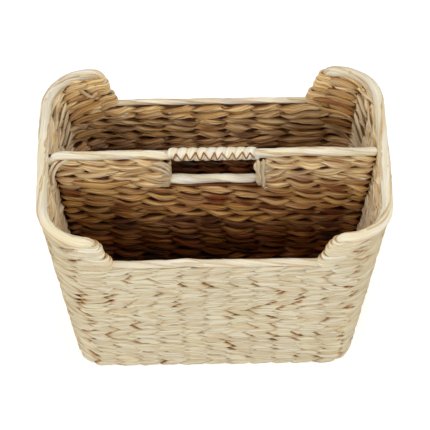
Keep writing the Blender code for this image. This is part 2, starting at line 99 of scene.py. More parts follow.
# Studio lights: name, place, power in watts and side of the square
LIGHTS = (
    ("left_box", (-2.25, -0.45, 1.95), 39.0, 1.5),
    ("right_box", (2.25, -0.45, 1.95), 42.0, 1.5),
    ("front_box", (-0.35, -2.42, 1.80), 29.5, 1.0),
    ("rear_box", (0.0, 1.90, 2.40), 14.0, 1.6),
)
LIT_PLACE = (0, 0, 0.15)
FLOOR_HALF = 3.0


def to_linear(colour):
    """Linear red, green, blue and alpha of a colour written as sRGB hex: each share over 0.04045 is
    raised, with its offset of 0.055, to the power 2.4, and a smaller one is divided by 12.92."""
    shares = np.array([int(colour[place:place + 2], 16) for place in (0, 2, 4)]) / 255
    linear = np.where(shares > 0.04045, ((shares + 0.055) / 1.055) ** 2.4, shares / 12.92)
    return (*linear.tolist(), 1.0)


def length(name, description, default):
    """A length property in metres."""
    return FloatProperty(name=name, description=description, default=default, unit="LENGTH", precision=4)


def count(name, description, default):
    """A property that counts things."""
    return IntProperty(name=name, description=description, default=default)


def colour(name, description, default):
    """A colour property, its default given as sRGB hex."""
    return FloatVectorProperty(name=name, description=description, default=to_linear(default),
                               subtype="COLOR", size=4, min=0, max=1)


class RackSize(bpy.types.PropertyGroup):
    """Sizes of the rack on the centre lines of its wires."""

    rim_width: length("Rim width", "Width between the side rims", 0.400)
    rim_depth: length("Rim depth", "Depth between the front and rear rims at the top", 0.252)
    rim_height: length("Rim height", "Height of the side rims and of the divider", 0.286)
    rim_corner: length("Rim corner", "Corner radius at the top", 0.052)
    base_width: length("Base width", "Width at the floor", 0.336)
    base_depth: length("Base depth", "Depth at the floor", 0.212)
    base_corner: length("Base corner", "Corner radius at the floor", 0.030)
    dip_depth: length("Dip depth", "Drop from the side rims to the low rims", 0.052)
    front_foot: length("Front dip, bottom", "Width of the front dip at its bottom", 0.252)
    front_head: length("Front dip, top", "Width of the front dip at its top", 0.287)
    rear_foot: length("Rear dip, bottom", "Width of the rear dip at its bottom", 0.244)
    rear_head: length("Rear dip, top", "Width of the rear dip at its top", 0.283)
    slot_length: length("Hand slot length", "Clear length of the hand slot", 0.100)
    slot_depth: length("Hand slot depth", "Drop from the divider's bar to the slot's bar", 0.047)


class RackWeave(bpy.types.PropertyGroup):
    """Sizes of the strands and counts of the stakes that they are twined round."""

    front_stakes: count("Front stakes", "Stakes of the front wall", 11)
    rear_stakes: count("Rear stakes", "Stakes of the rear wall", 9)
    side_stakes: count("Side stakes", "Stakes of each side wall", 5)
    wall_rows: count("Wall rows", "Rows of the side walls, base to rim", 26)
    divider_rows: count("Divider rows", "Rows of the divider", 24)
    base_rows: count("Base rows", "Rows of the base", 19)
    divider_spacing: length("Divider stakes", "Way between the stakes of the divider", 0.0355)
    base_spacing: length("Base ribs", "Way between the ribs that the base is twined round", 0.030)
    cross_tall: length("Crossing height", "Half height of a strand between stakes", 0.0040)
    stitch_thick: length("Stitch thickness", "Half thickness of a strand over a stake", 0.0022)
    inner_thick: length("Inner thickness", "Half thickness of a strand over a stake inside", 0.0036)
    cross_thick: length("Crossing thickness", "Half thickness of a strand between stakes", 0.0029)
    swing: length("Swing", "How far a strand swings out and in round the stakes", 0.0034)
    press: length("Press", "How far the calm outside of the walls may stand out", 0.0068)
    lift: length("Lift", "How far a strand rises and falls as the pair twists", 0.0027)
    stray: length("Stray", "How far a stitch may lie off the middle of its row", 0.0010)
    tilt: length("Tilt", "How far a strand's edge stands out where the pair crosses outside", 0.0030)
    rim_roll: length("Rim roll", "Radius of the bound rim", 0.0062)
    divider_roll: length("Divider roll", "Radius of the divider's bound edge", 0.0050)
    lip_roll: length("Slot lip", "Radius of the roll under the hand slot", 0.0048)
    lay: length("Lay", "Length in which a strand of a bound edge goes round once", 0.420)
    handle_turns: FloatProperty(name="Handle turns", description="Turns of the strip on the handle", default=9.0)


class RackColours(bpy.types.PropertyGroup):
    """Colours of the plant strands and the stage."""

    bleached: colour("Bleached strand", "Strands on the outside", "E6DFCB")
    bleached_dark: colour("Bleached shade", "Darker fibres of the outside strands", "CABFA1")
    straw: colour("Straw strand", "Yellower strands of the outside", "E6DDBD")
    blush: colour("Blush shade", "Pinker fibres of the outside strands", "CCBF9F")
    golden: colour("Golden strand", "Strands inside the rack", "FFDB8F")
    golden_dark: colour("Golden shade", "Brown strands inside the rack", "AE702F")
    olive: colour("Olive strand", "Greyer pale strands inside the rack", "F3D095")
    russet: colour("Russet strand", "Redder brown strands inside the rack", "9C5526")
    # Painted shade: inner strands are darkened towards this brown lower down, and the deepest slits inside take it
    shade_brown: colour("Deep strand", "Brown strands low down inside the rack", "402719")
    # Darkens the fold lines, and as painted shade the crevices and crossings between strands
    stain_and_shade: colour("Stain", "Orange brown skin where strands cross", "D9A94E")
    edge: colour("Bound edge", "Strands of the bound edges", "EFECE1")
    edge_dark: colour("Bound edge shade", "Darker fibres of the bound edges", "DCD0B1")
    iron: colour("Iron", "Lacquered wires of the frame", "3A302A")
    rust: colour("Rust", "Specks where rust comes through the lacquer", "6B4023")
    floor: colour("Floor", "The floor", "F3F2F0")


def ramp(value, start, end):
    """Share of the way from start to end, kept from 0 to 1."""
    return np.clip((value - start) / (end - start), 0, 1)


def unit(vectors):
    """Vectors at length 1."""
    return vectors / np.linalg.norm(vectors, axis=-1, keepdims=True)


def way_along(points):
    """Length of a line from its first point to each of its points."""
    return np.concatenate([[0], np.cumsum(np.linalg.norm(np.diff(points, axis=0), axis=1))])


def wander(rng, share, cycles):
    """A smooth random line between about -1 and 1: three sine waves with whole numbers of cycles, so
    that it closes on itself where the share goes from 0 to 1."""
    counts = np.maximum(1, np.round(cycles * np.array([0.6, 1.0, 1.7])))
    starts = rng.uniform(0, math.tau, 3)
    weights = np.array([0.5, 0.35, 0.25])
    return (np.sin(math.tau * np.multiply.outer(share, counts) + starts) * weights).sum(-1)


def plan(size, height):
    """Half width, half depth and corner radius of the wall's middle at a height: each goes in a
    straight line from its value at the floor to its value at the rim."""
    rise = height / size.rim_height
    half_width = (size.base_width + (size.rim_width - size.base_width) * rise) / 2
    half_depth = (size.base_depth + (size.rim_depth - size.base_depth) * rise) / 2
    corner = size.base_corner + (size.rim_corner - size.base_corner) * rise
    return half_width, half_depth, corner


def step_side(size, height, foot, head):
    """Half width of a dip at a height, on the straight line from its foot to its head."""
    rise = (height - size.rim_height + size.dip_depth) / size.dip_depth
    return (foot + (head - foot) * rise) / 2


def stake_numbers(weave):
    """Stake number at each change of the wall's plan, from the front wall's left end: a wall takes one
    less than its stakes, and a corner takes two, because its post stands in the middle."""
    front, rear, side = weave.front_stakes - 1, weave.rear_stakes - 1, weave.side_stakes - 1
    return np.cumsum([0, front, 2, side, 2, rear, 2, side, 2])


def wall_place(size, weave):
    """The wall as a function of stake number and height. A point is a corner's centre, which slides
    from corner to corner, plus the corner's radius in the outward direction, which turns at corners."""
    numbers = stake_numbers(weave)
    across = [-1, 1, 1, 1, 1, -1, -1, -1, -1]
    along = [-1, -1, -1, 1, 1, 1, 1, -1, -1]
    angles = np.radians([-90, -90, 0, 0, 90, 90, 180, 180, 270])

    def place(stake, height, out):
        turn = np.mod(stake, numbers[-1])
        angle = np.interp(turn, numbers, angles)
        half_width, half_depth, corner = plan(size, height)
        reach = corner + out
        x = np.interp(turn, numbers, across) * (half_width - corner) + reach * np.cos(angle)
        y = np.interp(turn, numbers, along) * (half_depth - corner) + reach * np.sin(angle)
        return np.stack([x, y, height + 0 * x], -1)

    return place


def divider_place(spacing):
    """The divider as a function of stake number and height: X is the number times the spacing."""
    return lambda stake, height, out: np.stack([stake * spacing, -out, height], -1)


def base_place(spacing, level):
    """The base as a function of rib number and the way towards the front: its outside faces down."""
    return lambda rib, way, out: np.stack([rib * spacing, -way, level - out], -1)


class Strands:
    """Gathers tubes, each worked out on a grid, into one mesh with its strand attributes."""

    def __init__(self):
        self.points, self.quads, self.caps, self.grain, self.looks = [], [], [], [], []
        self.count = 0

    def add(self, grid, way, ring, tone, inside, crevice_shade, closed=False):
        """Add a tube: grid is points by way and ring. Quads join each point to the next on its ring
        and to the next ring. Grain is the way along, with the ring's place across it."""
        steps, around = grid.shape[:2]
        index = self.count + np.arange(steps * around).reshape(steps, around)
        after = np.roll(index, -1, 0)
        if not closed:
            self.caps += [index[0, ::-1], index[-1]]
            index, after = index[:-1], after[:-1]
        quads = np.stack([index, np.roll(index, -1, 1), np.roll(after, -1, 1), after], -1)
        self.quads.append(quads.reshape(-1, 4))
        self.points.append(grid.reshape(-1, 3))
        grain = np.broadcast_arrays(way[:, None], GRAIN_HALF * np.cos(ring), GRAIN_HALF * np.sin(ring))
        self.grain.append(np.stack(grain, -1).reshape(-1, 3))
        looks = np.broadcast_arrays(tone, inside, crevice_shade, grid[..., 0])[:3]
        self.looks.append(np.stack(looks, -1).reshape(-1, 3))
        self.count += steps * around

    def build(self, context, name, material, replaced):
        """Make the object, tie it to the rack's body and let it stand for its CAD nodes."""
        mesh = bpy.data.meshes.new(name)
        faces = np.concatenate(self.quads).tolist() + [cap.tolist() for cap in self.caps]
        mesh.from_pydata(np.concatenate(self.points).tolist(), [], faces)
        for attribute, values in (("grain", self.grain), ("looks", self.looks)):
            data = mesh.attributes.new(attribute, "FLOAT_VECTOR", "POINT").data
            data.foreach_set("vector", np.concatenate(values).ravel())
        mesh.polygons.foreach_set("use_smooth", np.ones(len(mesh.polygons), bool))
        mesh.materials.append(strand_material(context, material))
        mesh.validate()
        piece = bpy.data.objects.new(name, mesh)
        bpy.context.scene.collection.objects.link(piece)
        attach(piece, BODY)
        if replaced:
            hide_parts(*replaced)


def section(boxiness):
    """Cosine and sine round a strand, from its upper edge towards the outside, pushed outwards so that
    the oval becomes a little square."""
    cos, sin = np.cos(RING), np.sin(RING)
    squared = (np.abs(cos) ** boxiness + np.abs(sin) ** boxiness) ** (-1 / boxiness)
    return cos * squared, sin * squared


def flattened(out, limit):
    """Outward places with their outer part pressed flat: the limit times the hyperbolic tangent of
    the place over the limit. Inner places stay."""
    return np.where(out > 0, limit * np.tanh(out / limit), out)


def row_edges(rng, rows, foot, pitch, roughness, cycles):
    """The low and high edge of a row, as a function of the row and the share of its way. The line below
    row i lies at the foot plus i pitches, and wanders by three sine waves of whole numbers of cycles,
    so that a thick strand lies beside a thin one with no gap."""
    starts = rng.uniform(0, math.tau, (rows + 1, 3))
    counts = np.round(cycles * rng.uniform((0.4, 0.9, 1.6), (0.8, 1.4, 2.2), (rows + 1, 3)))
    swell = np.full(rows + 1, roughness)
    swell[[0, -1]] = 0.2 * roughness
    weights = np.array([0.5, 0.4, 0.3])

    def level(line, share):
        waves = np.sin(math.tau * np.multiply.outer(share, counts[line]) + starts[line])
        return foot + pitch * line + swell[line] * (waves * weights).sum(-1)

    return lambda row, share: (level(row, share), level(row + 1, share))


def twine_row(strands, rng, weave, place, numbers, edges, slant, closed=False, calm=True, unruly=1.0,
              worn_and_shaded=0.0, full=0.0, shift=0.0, tight=0.0):
    """Two strands twisted round the stakes. Each swings out and in with the cosine of its phase, which
    is half a turn a stake, and rises with the sine. Over a stake it fills the row from edge to edge,
    and between stakes, where the pair crosses, it is low and thick. A calm outside lies flatter and
    straighter than the inside, and there one edge of a crossing strand tilts out. Each stitch has
    random sizes of its own. Worn work, at the corners, has more open slits and a darker outside tone,
    which is painted shade; full work has taller inner strands, shift moves the crossings by up to half
    a stake, and tight work keeps them from lagging. Each strand also carries painted crevice shade."""
    low, high = edges
    share = (numbers - numbers[0]) / (numbers[-1] - numbers[0] + (numbers[1] - numbers[0]) * closed)
    stitches = len(numbers) / STEPS_A_STITCH
    lag = rng.uniform(-0.2, 0.2) + 0.13 * wander(rng, share, stitches / 3)
    turned = numbers + lag * (1 - tight) + 0.5 * shift
    first = int(math.floor(turned.min()))
    around = int(round(numbers[-1] - numbers[0])) if closed else len(numbers)
    stitch = (np.round(turned).astype(int) - first) % around
    crossing = (np.floor(turned).astype(int) - first) % around
    slit = rng.uniform(0, 1, around)[crossing] ** (3.4 - 1.9 * worn_and_shaded)
    ends = np.ones_like(share) if closed else np.clip(np.minimum(share, 1 - share) * len(share) / 3, 0.15, 1)
    for start in (0, math.pi):
        cosine, sine = np.cos(math.pi * turned + start), np.sin(math.pi * turned + start)
        middle = cosine ** 2
        flat = (cosine > 0) & calm
        chance = rng.normal(0, 1, (5, around)).clip(-1.8, 1.8)[:, stitch]
        wild = unruly * np.where(flat, 0.7, 1.25) * np.sqrt(middle)

        tall = (high - low) / 2 * (np.where(flat, 1.15, 1.03 + 0.22 * full) + 0.13 * wild * chance[0])
        narrow = weave.cross_tall * (1 + 0.3 * full)
        narrow = narrow + (tall * (1 - 0.7 * slit) - narrow) * np.clip(0.5 + 2.2 * cosine, 0, 1) * calm
        tall = narrow + (tall - narrow) * middle ** np.where(flat, 0.42, 0.75)
        thick = np.where(flat, weave.stitch_thick, weave.inner_thick) * (1 + 0.20 * wild * chance[1])
        thick = weave.cross_thick + (thick - weave.cross_thick) * middle
        out = np.sign(cosine) * np.abs(cosine) ** np.where(flat, 0.8, 1.0)
        out = out * weave.swing * (1 + 0.14 * wild * chance[2])
        sway = np.sign(sine) * np.abs(sine) ** np.where(flat, 2.8, 1.25)
        up = (high + low) / 2 + weave.lift * slant * np.where(flat, 0.8, 1 + full) * sway
        up = up + weave.stray * wild * chance[3]

        fold = (rng.uniform(0, math.tau) + 3 * wander(rng, share, stitches / 2))[:, None]
        cos, sin = section(np.where(flat, 3.0, 2.1)[:, None])
        lobes = 1 + 0.05 * np.cos(3 * RING + fold)
        groove = np.where(flat, 0.0005, 0.0008)[:, None] * np.sin(RING)
        groove = groove * np.cos(math.tau * np.cos(RING) + 1.7 * fold)
        filled = 1 + 0.55 * ((1 - middle) * (1 - slit))[:, None] * (np.sin(RING) > 0) * calm
        rise = up[:, None] + (tall * ends)[:, None] * cos * lobes
        offset = out[:, None] + (thick * ends)[:, None] * sin * lobes * filled + groove
        offset = offset + weave.tilt * slant * (sine ** 3)[:, None] * cos * calm
        offset = flattened(offset, weave.press if calm else 2 * weave.press)
        grid = place(numbers[:, None] + 0 * rise, rise, offset)
        grid[..., 2] = np.maximum(grid[..., 2], FLOOR_GAP)
        way = way_along(grid[:, 0])
        if closed:
            way = np.minimum(way, way[-1] - way)
        way = way + rng.uniform(0, 50)

        # Painted shade: the outside's tone is darker towards the middle of each corner
        tone = np.where(flat, 0.5 - 0.25 * worn_and_shaded, 0.85) + np.where(flat, 0.17, 0.85) * chance[4] * wild
        # Painted shade in the crevices: darkest near the middle of the work, where the pair crosses and slits open,
        # and along each strand's upper and lower edges; on a calm outside it is fainter and follows the open slits
        outline_shade = np.maximum(ramp(np.abs(offset), *OUTLINES), np.abs(cos) ** 7)
        faint_shade = ramp(np.abs(offset), *SLITS) * np.minimum(1.15 * slit[:, None] ** 0.7, 1)
        faint_shade = np.maximum(faint_shade, 0.30 * np.abs(cos) ** 7)
        crevice_shade = np.where((offset > 0) & calm, faint_shade, outline_shade)
        strands.add(grid, way, RING, tone[:, None], ramp(offset, *INNER_SKIN), crevice_shade, closed)


def stake_run(start, end):
    """Stake numbers from start to end, close enough for a stitch to be smooth."""
    return np.linspace(start, end, max(4, int(round((end - start) * STEPS_A_STITCH))) + 1)


def across_line(points, outward):
    """Side and up directions square to an open line: side is outward less its part along the line, and
    up is along crossed into side, which points up where the line runs counter-clockwise."""
    along = unit(np.concatenate([points[1:], points[-1:]]) - np.concatenate([points[:1], points[:-1]]))
    side = unit(outward - along * (outward * along).sum(-1, keepdims=True))
    return side, np.cross(side, along)


def laid_roll(strands, rng, points, outward, radius, lay, taper=0.006, tone=0.65, core=0.34, number=3):
    """A roll of strands laid round a line. Strand i lies at the angle of the way over the lay plus
    i over their number, at a share of the radius, and is an oval, wider along the roll's surface."""
    side, up = across_line(points, outward)
    way = way_along(points)
    total = way[-1]
    share = way / total
    depth = radius * core
    for index in range(number):
        size = 1 + 0.09 * wander(rng, share, total / 0.08)
        angle = (math.tau * (way / lay + index / number) + 0.25 * wander(rng, share, total / 0.12))[:, None]
        radial = side * np.sin(angle) + up * np.cos(angle)
        tangent = side * np.cos(angle) - up * np.sin(angle)
        wide = radius * math.pi / number * 0.98 * (1 + 0.06 * wander(rng, share, total / 0.05))
        narrow = np.clip(np.minimum(way, total - way) / taper, 0.16, 1) ** 0.6
        cos, sin = section(2.15)
        lobes = 1 + 0.045 * np.cos(4 * RING + 5 * wander(rng, share, total / 0.06)[:, None])
        rise = (depth * narrow)[:, None] + ((radius - depth) * size * narrow)[:, None] * cos * lobes
        aside = (wide * narrow)[:, None] * sin * lobes
        grid = points[:, None] + radial[:, None] * rise[..., None] + tangent[:, None] * aside[..., None]
        # Painted shade: each strand darkens towards its sides, where it meets its neighbours
        strands.add(grid, rng.uniform(0, 50) + way, RING, tone + 0.12 * rng.normal(), 0,
                    np.minimum(1.1 * np.abs(sin) ** 6, 1))


def strap(strands, rng, points, outward, half_wide, half_thick, tone, inside=0.0, boxiness=2.3, taper=0.005):
    """One flat strand along an open line. Its wide side lies square to the outward direction, and it
    narrows at both ends."""
    thick_way, wide_way = across_line(points, outward)
    way = way_along(points)
    share = way / way[-1]
    cos, sin = section(boxiness)
    narrow = np.clip(np.minimum(way, way[-1] - way) / taper, 0.12, 1) ** 0.5
    fold = 1 + 0.05 * np.cos(3 * RING + rng.uniform(0, math.tau) + 2 * share[:, None])
    wide = (half_wide * narrow * (1 + 0.05 * wander(rng, share, 3)))[:, None] * cos * fold
    thick = (half_thick * narrow)[:, None] * sin * fold
    grid = points[:, None] + wide_way[:, None] * wide[..., None] + thick_way[:, None] * thick[..., None]
    # Painted shade: the strand darkens towards its long edges
    strands.add(grid, rng.uniform(0, 50) + way, RING, tone + 0.12 * rng.normal(), np.reshape(inside, (-1, 1)),
                0.6 * np.abs(cos) ** 8)


def turned_end(strands, rng, to_world, height, far, reach, bulge, tall, thick, radius, tone):
    """A strand that comes along one face, goes round an edge and returns along the other face. On the
    faces its way from the edge runs in a straight line, and round the edge it is the cosine of an angle
    of half a turn, with the sine as its place across the wall. Far from the edge it sinks in."""
    turn = np.linspace(math.pi / 2, -math.pi / 2, 15)[1:-1]
    flat = np.linspace(1, 0, 12)
    beyond = np.concatenate([flat * reach[0], -bulge * np.cos(turn), flat[::-1] * reach[1]])
    fade = np.concatenate([flat, 0 * turn, flat[::-1]])
    across = np.concatenate([0 * flat + 1, np.sin(turn), 0 * flat - 1])
    out = across * (radius - 0.0034 * fade ** 1.5)
    rise = np.where(np.arange(len(beyond)) < len(beyond) / 2, far[0], far[1]) * fade ** 1.3 + height
    points = to_world(beyond, rise, out)
    above = to_world(beyond, rise, out + MM * across)
    aside = to_world(beyond - MM * np.sqrt(np.clip(1 - across ** 2, 0, 1)), rise, out)
    strap(strands, rng, points, unit(above + aside - 2 * points), tall, thick, tone, ramp(out, 0.002, -0.002),
          taper=0.014)


def smooth_line(knots, number):
    """A smooth line through a few knots given in mm: Catmull-Rom, a cubic between each two knots whose
    slope at a knot is half the way from the knot before to the knot after."""
    knots = np.array(knots) * MM
    padded = np.concatenate([[2 * knots[0] - knots[1]], knots, [2 * knots[-1] - knots[-2]]])
    places = np.linspace(0, len(knots) - 1, number)
    first = np.minimum(places.astype(int), len(knots) - 2)
    t = (places - first)[:, None]
    a, b, c, d = (padded[first + step] for step in range(4))
    return 0.5 * (2 * b + (c - a) * t + (2 * a - 5 * b + 4 * c - d) * t ** 2 + (3 * b - a - 3 * c + d) * t ** 3)


def rounded_line(corners, radii, spacing):
    """A line through corners in X and Z with each inner corner rounded: an arc about the point where
    the two sides, moved inwards by the radius, meet."""
    corners = np.array(corners)
    points = [corners[0]]
    for before, corner, after, radius in zip(corners, corners[1:], corners[2:], radii):
        back, onward = unit(before - corner), unit(after - corner)
        half = math.acos(float(np.clip(back @ onward, -1, 1))) / 2
        centre = corner + unit(back + onward) * radius / math.sin(half)
        start = corner + back * radius / math.tan(half) - centre
        end = corner + onward * radius / math.tan(half) - centre
        sweep = math.pi - 2 * half
        turns = np.linspace(0, 1, 9)[:, None]
        points.extend(centre + (np.sin((1 - turns) * sweep) * start + np.sin(turns * sweep) * end) / math.sin(sweep))
    line = np.array([*points, corners[-1]])
    run = way_along(line)
    places = np.linspace(0, run[-1], int(run[-1] / spacing) + 1)
    return np.stack([np.interp(places, run, line[:, axis]) for axis in range(2)], -1)


def rim_track(size):
    """The rim's centre line, counter-clockwise, with its outward directions: the front and rear lines
    dip, and between them a quarter circle, a straight side and a quarter circle lie at rim height."""
    half_width, half_depth, corner = plan(size, size.rim_height)
    top = size.rim_height
    low = top - size.dip_depth
    end = half_width - corner
    centre = half_depth - corner
    quarter = int(corner * math.pi / 2 / LINE_STEP)
    points, angles = [], []
    for foot, head, way in ((size.front_foot, size.front_head, 1), (size.rear_foot, size.rear_head, -1)):
        corners = [(-end, top), (-head / 2, top), (-foot / 2, low), (foot / 2, low), (head / 2, top), (end, top)]
        line = rounded_line(corners, (0.006, 0.008, 0.008, 0.006), LINE_STEP)
        side = np.linspace(-centre, centre, int(2 * half_depth / LINE_STEP))
        first, second = (np.radians(np.linspace(turn, turn + 90, quarter)[1:-1]) for turn in (-90, 0))
        for x, y, z, angle in (
            (line[:, 0], -plan(size, line[:, 1])[1], line[:, 1], -math.pi / 2),
            (end + corner * np.cos(first), -centre + corner * np.sin(first), top, first),
            (half_width, side, top, 0.0),
            (end + corner * np.cos(second), centre + corner * np.sin(second), top, second),
        ):
            x, y, z, angle = np.broadcast_arrays(x, y, z, angle)
            points.append(np.stack([x * way, y * way, z], -1))
            angles.append(angle + (0 if way > 0 else math.pi))
    angles = np.concatenate(angles)
    return np.concatenate(points), np.stack([np.cos(angles), np.sin(angles), 0 * angles], -1)


def stretches(wanted):
    """Index arrays of the unbroken stretches of a closed line where wanted holds."""
    start = int(np.argmin(wanted))
    index = (np.arange(len(wanted)) + start) % len(wanted)
    breaks = np.flatnonzero(np.diff(wanted[index].astype(int))) + 1
    return [part for part in np.split(index, breaks) if wanted[part[0]]]


def add_node(tree, kind, inputs=(), **settings):
    """Add one shader node, set its properties, and set or link its inputs. A node given as an input is
    linked by its first output in use."""
    node = tree.nodes.new("ShaderNode" + kind)
    for name, value in settings.items():
        setattr(node, name, value)
    for socket, value in dict(inputs).items():
        if isinstance(value, bpy.types.Node):
            value = next(output for output in value.outputs if output.enabled)
        if isinstance(value, bpy.types.NodeSocket):
            tree.links.new(value, node.inputs[socket])
        else:
            node.inputs[socket].default_value = value
    return node


def empty_tree(owner):
    """The cleared node tree of a material or world."""
    owner.use_nodes = True
    owner.node_tree.nodes.clear()
    return owner.node_tree


def plant_strand(name, tones, light, shade, spread, shade_most, fold_most, relief_mm):
    """Dried water hyacinth: split, flattened stems, twined dry. The eye sees long fibres and folds that
    run along each strand, a slight leaf sheen and uneven tones. Painted shade darkens the crevices and
    crossings orange brown to nearly black, and the inner strands towards deep brown lower down."""
    material = bpy.data.materials.new(name)
    tree = empty_tree(material)
    grain = add_node(tree, "Attribute", attribute_name="grain").outputs["Vector"]
    looks = add_node(tree, "Attribute", attribute_name="looks").outputs["Vector"]
    tone, inside, crevice_shade = add_node(tree, "SeparateXYZ", {"Vector": looks}).outputs
    place = add_node(tree, "TexCoord").outputs["Object"]
    height = add_node(tree, "SeparateXYZ", {"Vector": place}).outputs["Z"]

    # Marks that run along a strand: name, length and width in mm, and detail. Real fibres are 0.4 mm
    # wide and real folds 2 mm apart, and both are drawn coarser so that they show.
    marks = {}
    for mark, long, wide, detail in (
        ("fibres", 50, 2.0, 3.0), ("folds", 90, 3.4, 1.0), ("patches", 35, 7.0, 2.0), ("hues", 60, 12.0, 1.0),
    ):
        scale = (1 / (long * MM), 1 / (wide * MM), 1 / (wide * MM))
        stretched = add_node(tree, "VectorMath", {0: grain, 1: scale}, operation="MULTIPLY")
        marks[mark] = add_node(tree, "TexNoise", {
            "Vector": stretched, "Scale": 1.0, "Detail": detail, "Roughness": 0.6})

    # A fold is a thin line where its noise is at its middle. Folds are fainter outside than inside.
    lines = add_node(tree, "Math", {0: marks["folds"], 1: 0.5}, operation="SUBTRACT")
    lines = add_node(tree, "Math", {0: lines}, operation="ABSOLUTE")
    lines = add_node(tree, "MapRange", {"Value": lines, "From Max": 0.085, "To Min": 1, "To Max": 0})
    folds = add_node(tree, "MapRange", {"Value": inside, "To Min": fold_most, "To Max": 0.75})
    folds = add_node(tree, "Math", {0: lines, 1: folds}, operation="MULTIPLY")

    total = add_node(tree, "Math", {0: marks["fibres"], 1: 1.8, 2: tone}, operation="MULTIPLY_ADD")
    total = add_node(tree, "Math", {0: total, 1: marks["patches"]}, operation="ADD")
    lightness = add_node(tree, "MapRange", {"Value": total, "From Min": 1.9 - spread, "From Max": 1.9 + spread})
    hue = add_node(tree, "MapRange", {"Value": marks["hues"], "From Min": 0.38, "From Max": 0.62})
    # Painted shade: the inner strands are darkest below 0.12 m and reach their full colour above 0.27 m
    high_up = add_node(tree, "MapRange", {"Value": height, "From Min": 0.12, "From Max": 0.27})

    # Painted shade in the crevices and crossings: orange brown, and darker still deep down: russet slits outside,
    # nearly black ones inside
    crossings = add_node(tree, "MapRange", {
        "Value": marks["patches"], "From Min": 0.35, "From Max": 0.65, "To Min": 0.62, "To Max": 1.0})
    for factor in (crevice_shade, shade_most):
        crossings = add_node(tree, "Math", {0: crossings, 1: factor}, operation="MULTIPLY")
    power = add_node(tree, "MapRange", {"Value": inside, "To Min": 2.6, "To Max": 1.0})
    deep_shade = add_node(tree, "Math", {0: crossings, 1: power}, operation="POWER")

    # Each colour is mixed from two named before it
    mixed = {known: tuple(getattr(tones, known)) for known in RackColours.__annotations__}
    for known, factor, first, second, blend in (
        ("pale", hue, light, "straw", "MIX"),
        ("pale_shade", hue, "blush", shade, "MIX"),
        ("outside", lightness, "pale_shade", "pale", "MIX"),
        ("gold", hue, "golden", "olive", "MIX"),
        ("brown", hue, "golden_dark", "russet", "MIX"),
        ("upper", lightness, "brown", "gold", "MIX"),
        # Painted shade: lower down the inner colours turn towards deep brown
        ("lower", lightness, "shade_brown", "brown", "MIX"),
        ("within", high_up, "lower", "upper", "MIX"),
        ("skin", inside, "outside", "within", "MIX"),
        ("folded", folds, "skin", "stain_and_shade", "MULTIPLY"),
        # Painted shade: crevices and crossings darkened, and the deepest darker still
        ("shaded_crevices", crossings, "folded", "stain_and_shade", "MULTIPLY"),
        ("slit", inside, "russet", "shade_brown", "MIX"),
        ("base", deep_shade, "shaded_crevices", "slit", "MULTIPLY"),
    ):
        mixed[known] = add_node(tree, "Mix", data_type="RGBA", blend_type=blend, inputs={
            "Factor": factor, "A": mixed[first], "B": mixed[second]})

    relief = add_node(tree, "Math", {0: lines, 1: -0.9, 2: marks["fibres"]}, operation="MULTIPLY_ADD")
    bump = add_node(tree, "Bump", {"Height": relief, "Strength": 0.9, "Distance": relief_mm * MM})
    gloss = add_node(tree, "MapRange", {
        "Value": marks["fibres"], "From Min": 0.3, "From Max": 0.7, "To Min": 0.38, "To Max": 0.66})
    shader = add_node(tree, "BsdfPrincipled", {
        "Base Color": mixed["base"], "Roughness": gloss, "Normal": bump, "IOR": 1.45, "Specular IOR Level": 0.25})
    add_node(tree, "OutputMaterial", {"Surface": shader})
    return material


def strand_material(context, name):
    """The plant strand of the woven work, or the paler and smoother one of the bound edges."""
    tones = context.scene.rack_colours
    if name in bpy.data.materials:
        return bpy.data.materials[name]
    if name == BOUND:
        return plant_strand(name, tones, "edge", "edge_dark", 0.85, 0.6, 0.16, 0.5)
    return plant_strand(name, tones, "bleached", "bleached_dark", 1.00, 1.0, 0.42, 1.0)


def lacquered_iron(colours):
    """Drawn iron wire with a thin dark lacquer: satin, with brown specks, about 3 mm across, where rust
    comes through."""
    material = bpy.data.materials.new("lacquered_iron_wire")
    tree = empty_tree(material)
    place = add_node(tree, "TexCoord").outputs["Object"]
    rust = add_node(tree, "TexNoise", {"Vector": place, "Scale": 330.0, "Detail": 4.0})
    spots = add_node(tree, "MapRange", {"Value": rust, "From Min": 0.55, "From Max": 0.7})
    tint = add_node(tree, "Mix", {"Factor": spots, "A": tuple(colours.iron), "B": tuple(colours.rust)},
                    data_type="RGBA")
    rough = add_node(tree, "MapRange", {"Value": spots, "To Min": 0.42, "To Max": 0.8})
    bump = add_node(tree, "Bump", {"Height": rust, "Strength": 0.3, "Distance": 0.2 * MM})
    shader = add_node(tree, "BsdfPrincipled", {
        "Base Color": tint, "Roughness": rough, "Normal": bump, "Metallic": 0.4})
    add_node(tree, "OutputMaterial", {"Surface": shader})
    return material


